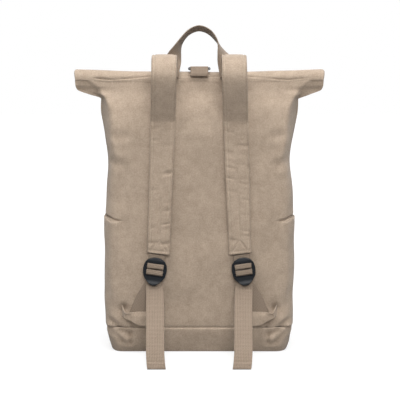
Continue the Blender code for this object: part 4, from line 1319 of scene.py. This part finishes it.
def tab(label, side):
    """One corner tab, made as a thin sheet of canvas."""
    shares = np.linspace(0, 1, 40)
    top, bottom, lift = through(TAB, shares).T
    up = np.linspace(0, 1, 22)[:, None]
    x = np.broadcast_to(-SEAM_X + 2 * GAP + TAB_LENGTH * shares, (22, 40))
    z = BASE_HEIGHT + TAB_HEIGHT * mix(bottom, top, up)
    wall = back_face(z.ravel()).reshape(z.shape) - GAP - CLOTH
    y = mix(wall, tab_over - CLOTH, ease(lift))
    y = y - 0.0022 * bell(shares, 0.16, 0.14) * bell(up, 1.0, 0.25)
    y = y - 0.0004 * cloud(np.stack([x, y, z], -1), 0.012, 9)
    y = y + 0.0022 * bell(up, 1.0, 0.22) * ease((shares - 0.36) / 0.15)
    grid = mirrored(np.stack([x, y, z], -1), side)
    mesh = grid_mesh(f"corner_tab_{label}", grid, False, shares * TAB_LENGTH, up[:, 0] * 0.02)
    made = thick(piece(f"corner_tab_{label}", flipped(mesh, side), canvas), TAB_WALL)
    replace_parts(made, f"corner_tab_{label}")
    return made


for label, side in (("left", -1), ("right", 1)):
    tab(label, side)
print("tab:", TAB_LENGTH, "by", TAB_HEIGHT)

# %% [markdown]
# ## Ladder locks
# Each buckle is a moulded plate, rounded like a shield, with three slots between two bars and
# a thumb tab below. A flat curve with holes, extruded and bevelled, gives clean rounded
# edges; its mesh is then bent so that the top bulges and the thumb tab lifts.

# %% Outline and slots
SHIELD = [
    # share of the length, share of half the width
    (0.00, 0.00), (0.004, 0.14), (0.03, 0.28), (0.08, 0.43), (0.18, 0.67), (0.28, 0.85),
    (0.42, 0.965), (0.58, 1.00), (0.72, 0.965), (0.82, 0.88), (0.91, 0.69), (0.965, 0.45),
    (0.995, 0.20), (1.00, 0.00),
]


def rounded_slot(low, high, half, radius=0.0009):
    """Corner points of a slot in u, v."""
    corners = [(half, low), (half, high), (-half, high), (-half, low)]
    points = []
    for k, (u, v) in enumerate(corners):
        middle = (u - math.copysign(radius, u), v + (radius if v == low else -radius))
        for part in range(4):
            turn = math.pi / 2 * (k - 1 + part / 3)
            points.append((middle[0] + radius * math.cos(turn), middle[1] + radius * math.sin(turn)))
    return points


# %% Flat plate
def plate(loops, depth, bevel):
    """Mesh of a flat shape with holes, extruded both ways and bevelled."""
    curve = bpy.data.curves.new("plate", "CURVE")
    curve.dimensions = "2D"
    curve.fill_mode = "BOTH"
    curve.extrude = depth
    curve.bevel_depth = bevel
    curve.bevel_resolution = 2
    for loop in loops:
        spline = curve.splines.new("POLY")
        spline.points.add(len(loop) - 1)
        spline.points.foreach_set("co", [n for u, v in loop for n in (u, v, 0, 1)])
        spline.use_cyclic_u = True
    holder = bpy.data.objects.new("plate", curve)
    bpy.context.scene.collection.objects.link(holder)
    bpy.context.view_layer.update()
    mesh = bpy.data.meshes.new_from_object(holder.evaluated_get(
        bpy.context.evaluated_depsgraph_get()))
    bpy.data.objects.remove(holder)
    return mesh


# %% Ladder locks
PLATE_HALF, PLATE_BEVEL, PLATE_LIFT = 0.0019, 0.0007, 0.0022
# The thumb tab's edge rises into the lowest slot, so black plastic stands in for the shaded gap
# under the lower band: a dark part put where there is only shade.
SLOT_SHADE_FILL = 0.0022              # the thumb tab's edge, up into the lowest slot


def buckle_plate():
    """The flat plate of a buckle with its three slots."""
    right = smooth_path([(w * BUCKLE_WIDTH / 2, s * BUCKLE_LENGTH) for s, w in SHIELD], 4)
    shield = np.vstack([right, right[1:-1][::-1] * (-1, 1)]).tolist()
    half = WEBBING_WIDTH / 2 + GAP * 1.5
    edges = [WINDOW_BOTTOM + SLOT_SHADE_FILL] + [b + way * BAR_HEIGHT / 2 for b in (BAR_LOWER, BAR_UPPER)
                                     for way in (-1, 1)] + [WINDOW_TOP]
    slots = [rounded_slot(low, high, half) for low, high in zip(edges[::2], edges[1::2])]
    return plate([shield] + slots, PLATE_HALF - PLATE_BEVEL, PLATE_BEVEL), half


def moulded(u, v, w, half):
    """Relief of the plate: thin bars, a fuller top, a raised thumb tab with a hollow."""
    share = v / BUCKLE_LENGTH
    w = w + PLATE_LIFT
    on_bar = (abs(u) < half - 0.0002) & (v > WINDOW_BOTTOM + 0.001) & (v < WINDOW_TOP - 0.0005)
    w = np.where(on_bar, np.clip(w, 0.0003, BAR_THICK + GAP), w)
    w = np.where(w > 0.0025, w + 0.0008 * bell(share, 0.88, 0.09), w)
    w = w + 0.0016 * ease((0.22 - share) / 0.2)
    return np.where(w > 0.003, w - 0.0010 * bell(share, 0.15, 0.07) * bell(u, 0, 0.006), w)


def ladder_lock(label, side):
    """One buckle, bent out of its plate and laid on the wall."""
    mesh, half = buckle_plate()
    co = np.zeros(len(mesh.vertices) * 3)
    mesh.vertices.foreach_get("co", co)
    u, v, w = co.reshape(-1, 3).T
    points = mirrored(on_buckle(u, v, moulded(u, v, w, half)), side)
    mesh.vertices.foreach_set("co", points.ravel())
    made = piece(f"ladder_lock_{label}", mesh, plastic)
    made.data.set_sharp_from_angle(angle=math.radians(35))
    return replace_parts(made, f"ladder_lock_{label}")


for label, side in (("left", -1), ("right", 1)):
    made = ladder_lock(label, side)
print("ladder lock faces:", len(made.data.polygons))

# %% [markdown]
# ## Closure
# A loop of webbing in the back seam holds a wire clasp over the roll, and a strap runs from
# the clasp down the front wall. From the back only the loop and the clasp's ends show. A cut
# tube would be too thick for cloth, so both are bands along a line in the plane of symmetry,
# which bends over the wire as webbing does.

# %% Closure bands
CLASP_WIRE, CLASP_LENGTH, CLASP_LIFT, CLASP_INSET = 0.0032, 0.025, 0.005, 0.002
CLOSURE_LENGTH, CLOSURE_TOUCH = 0.124, 0.843
LOOP_WIDTH = 0.0268
clasp_z = BODY_HEIGHT + CLASP_LIFT
back_bar = (ROLL_BACK + CLASP_INSET, clasp_z)
front_bar = (back_bar[0] + CLASP_LENGTH, clasp_z)
under_bar, aside = clasp_z - CLASP_WIRE * 1.25, WEBBING * 0.75
step = WEBBING + GAP * 1.3


def bar_loop(center):
    """Points (y, z) of webbing bent over one bar of the clasp."""
    radius = CLASP_WIRE / 2 + GAP + WEBBING / 2
    return [(center[0] - radius * math.cos(a), center[1] + radius * math.sin(a))
            for a in np.linspace(0, math.pi, 9)]


def closure_band(name, line, width=WEBBING_WIDTH):
    """A band along a line of (y, z) points in the plane of symmetry."""
    y, z = resampled(smooth_path(line, 6), np.linspace(0, 1, 30 + len(line) * 8)).T
    path = np.stack([y * 0, y, z], -1)
    return web(name, path, np.tile([1.0, 0, 0], (len(y), 1)), width=width)


# %% Closure loop
outer_leg = ROLL_BACK - GAP * 2 - WEBBING / 2 - step
inner_leg = outer_leg + step
seam_end = SEAM_Z + 5 * GAP
line = [(outer_leg, seam_end), (outer_leg, SEAM_Z + CLASP_LIFT)] + bar_loop(back_bar)
line += [(back_bar[0] + aside, under_bar), (inner_leg + WEBBING * 0.6, SEAM_Z + CLASP_LIFT * 0.9),
         (inner_leg, seam_end)]
closure_band("closure_loop", line, LOOP_WIDTH)
print("loop points:", len(line))

# %% Closure strap
main_leg = -ROLL_OFFSET + ROLL_THICKNESS / 2 - (STACK + GAP) / 2 + GAP * 2 + WEBBING / 2 + step
shoulder = ROLL_Z + ROLL_HEIGHT * 0.39
line = [(main_leg - step, ROLL_Z + ROLL_HEIGHT * 0.2), (main_leg - step, shoulder),
        (front_bar[0] - aside, under_bar)] + bar_loop(front_bar)
line += [(main_leg, shoulder), (main_leg, ROLL_Z - ROLL_HEIGHT * 0.06)]
closure_top = BASE_HEIGHT + TUBE_HEIGHT * CLOSURE_TOUCH
for z in np.linspace(closure_top, closure_top - CLOSURE_LENGTH, 7):
    line.append((wall_at(z)[2 * QUARTER, 1] + GAP * 2 + WEBBING / 2, z))
closure_band("closure_strap", line)
print("strap points:", len(line))

# %% [markdown]
# ## Clasp
# The clasp is a ring of thick round wire under its webbing. It is hard and already round in its
# solid, so it keeps that shape. A slight swelling brings its dark ends out beside the loop, and
# smooth shading hides the facets.

# %% Clasp
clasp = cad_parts["closure_clasp"]
clasp.data.materials.clear()
clasp.data.materials.append(plastic)
fuller = clasp.modifiers.new("fuller", "DISPLACE")
fuller.strength, fuller.mid_level = 0.0007, 0.0
clasp.data.shade_smooth()
print("clasp faces:", len(clasp.data.polygons))
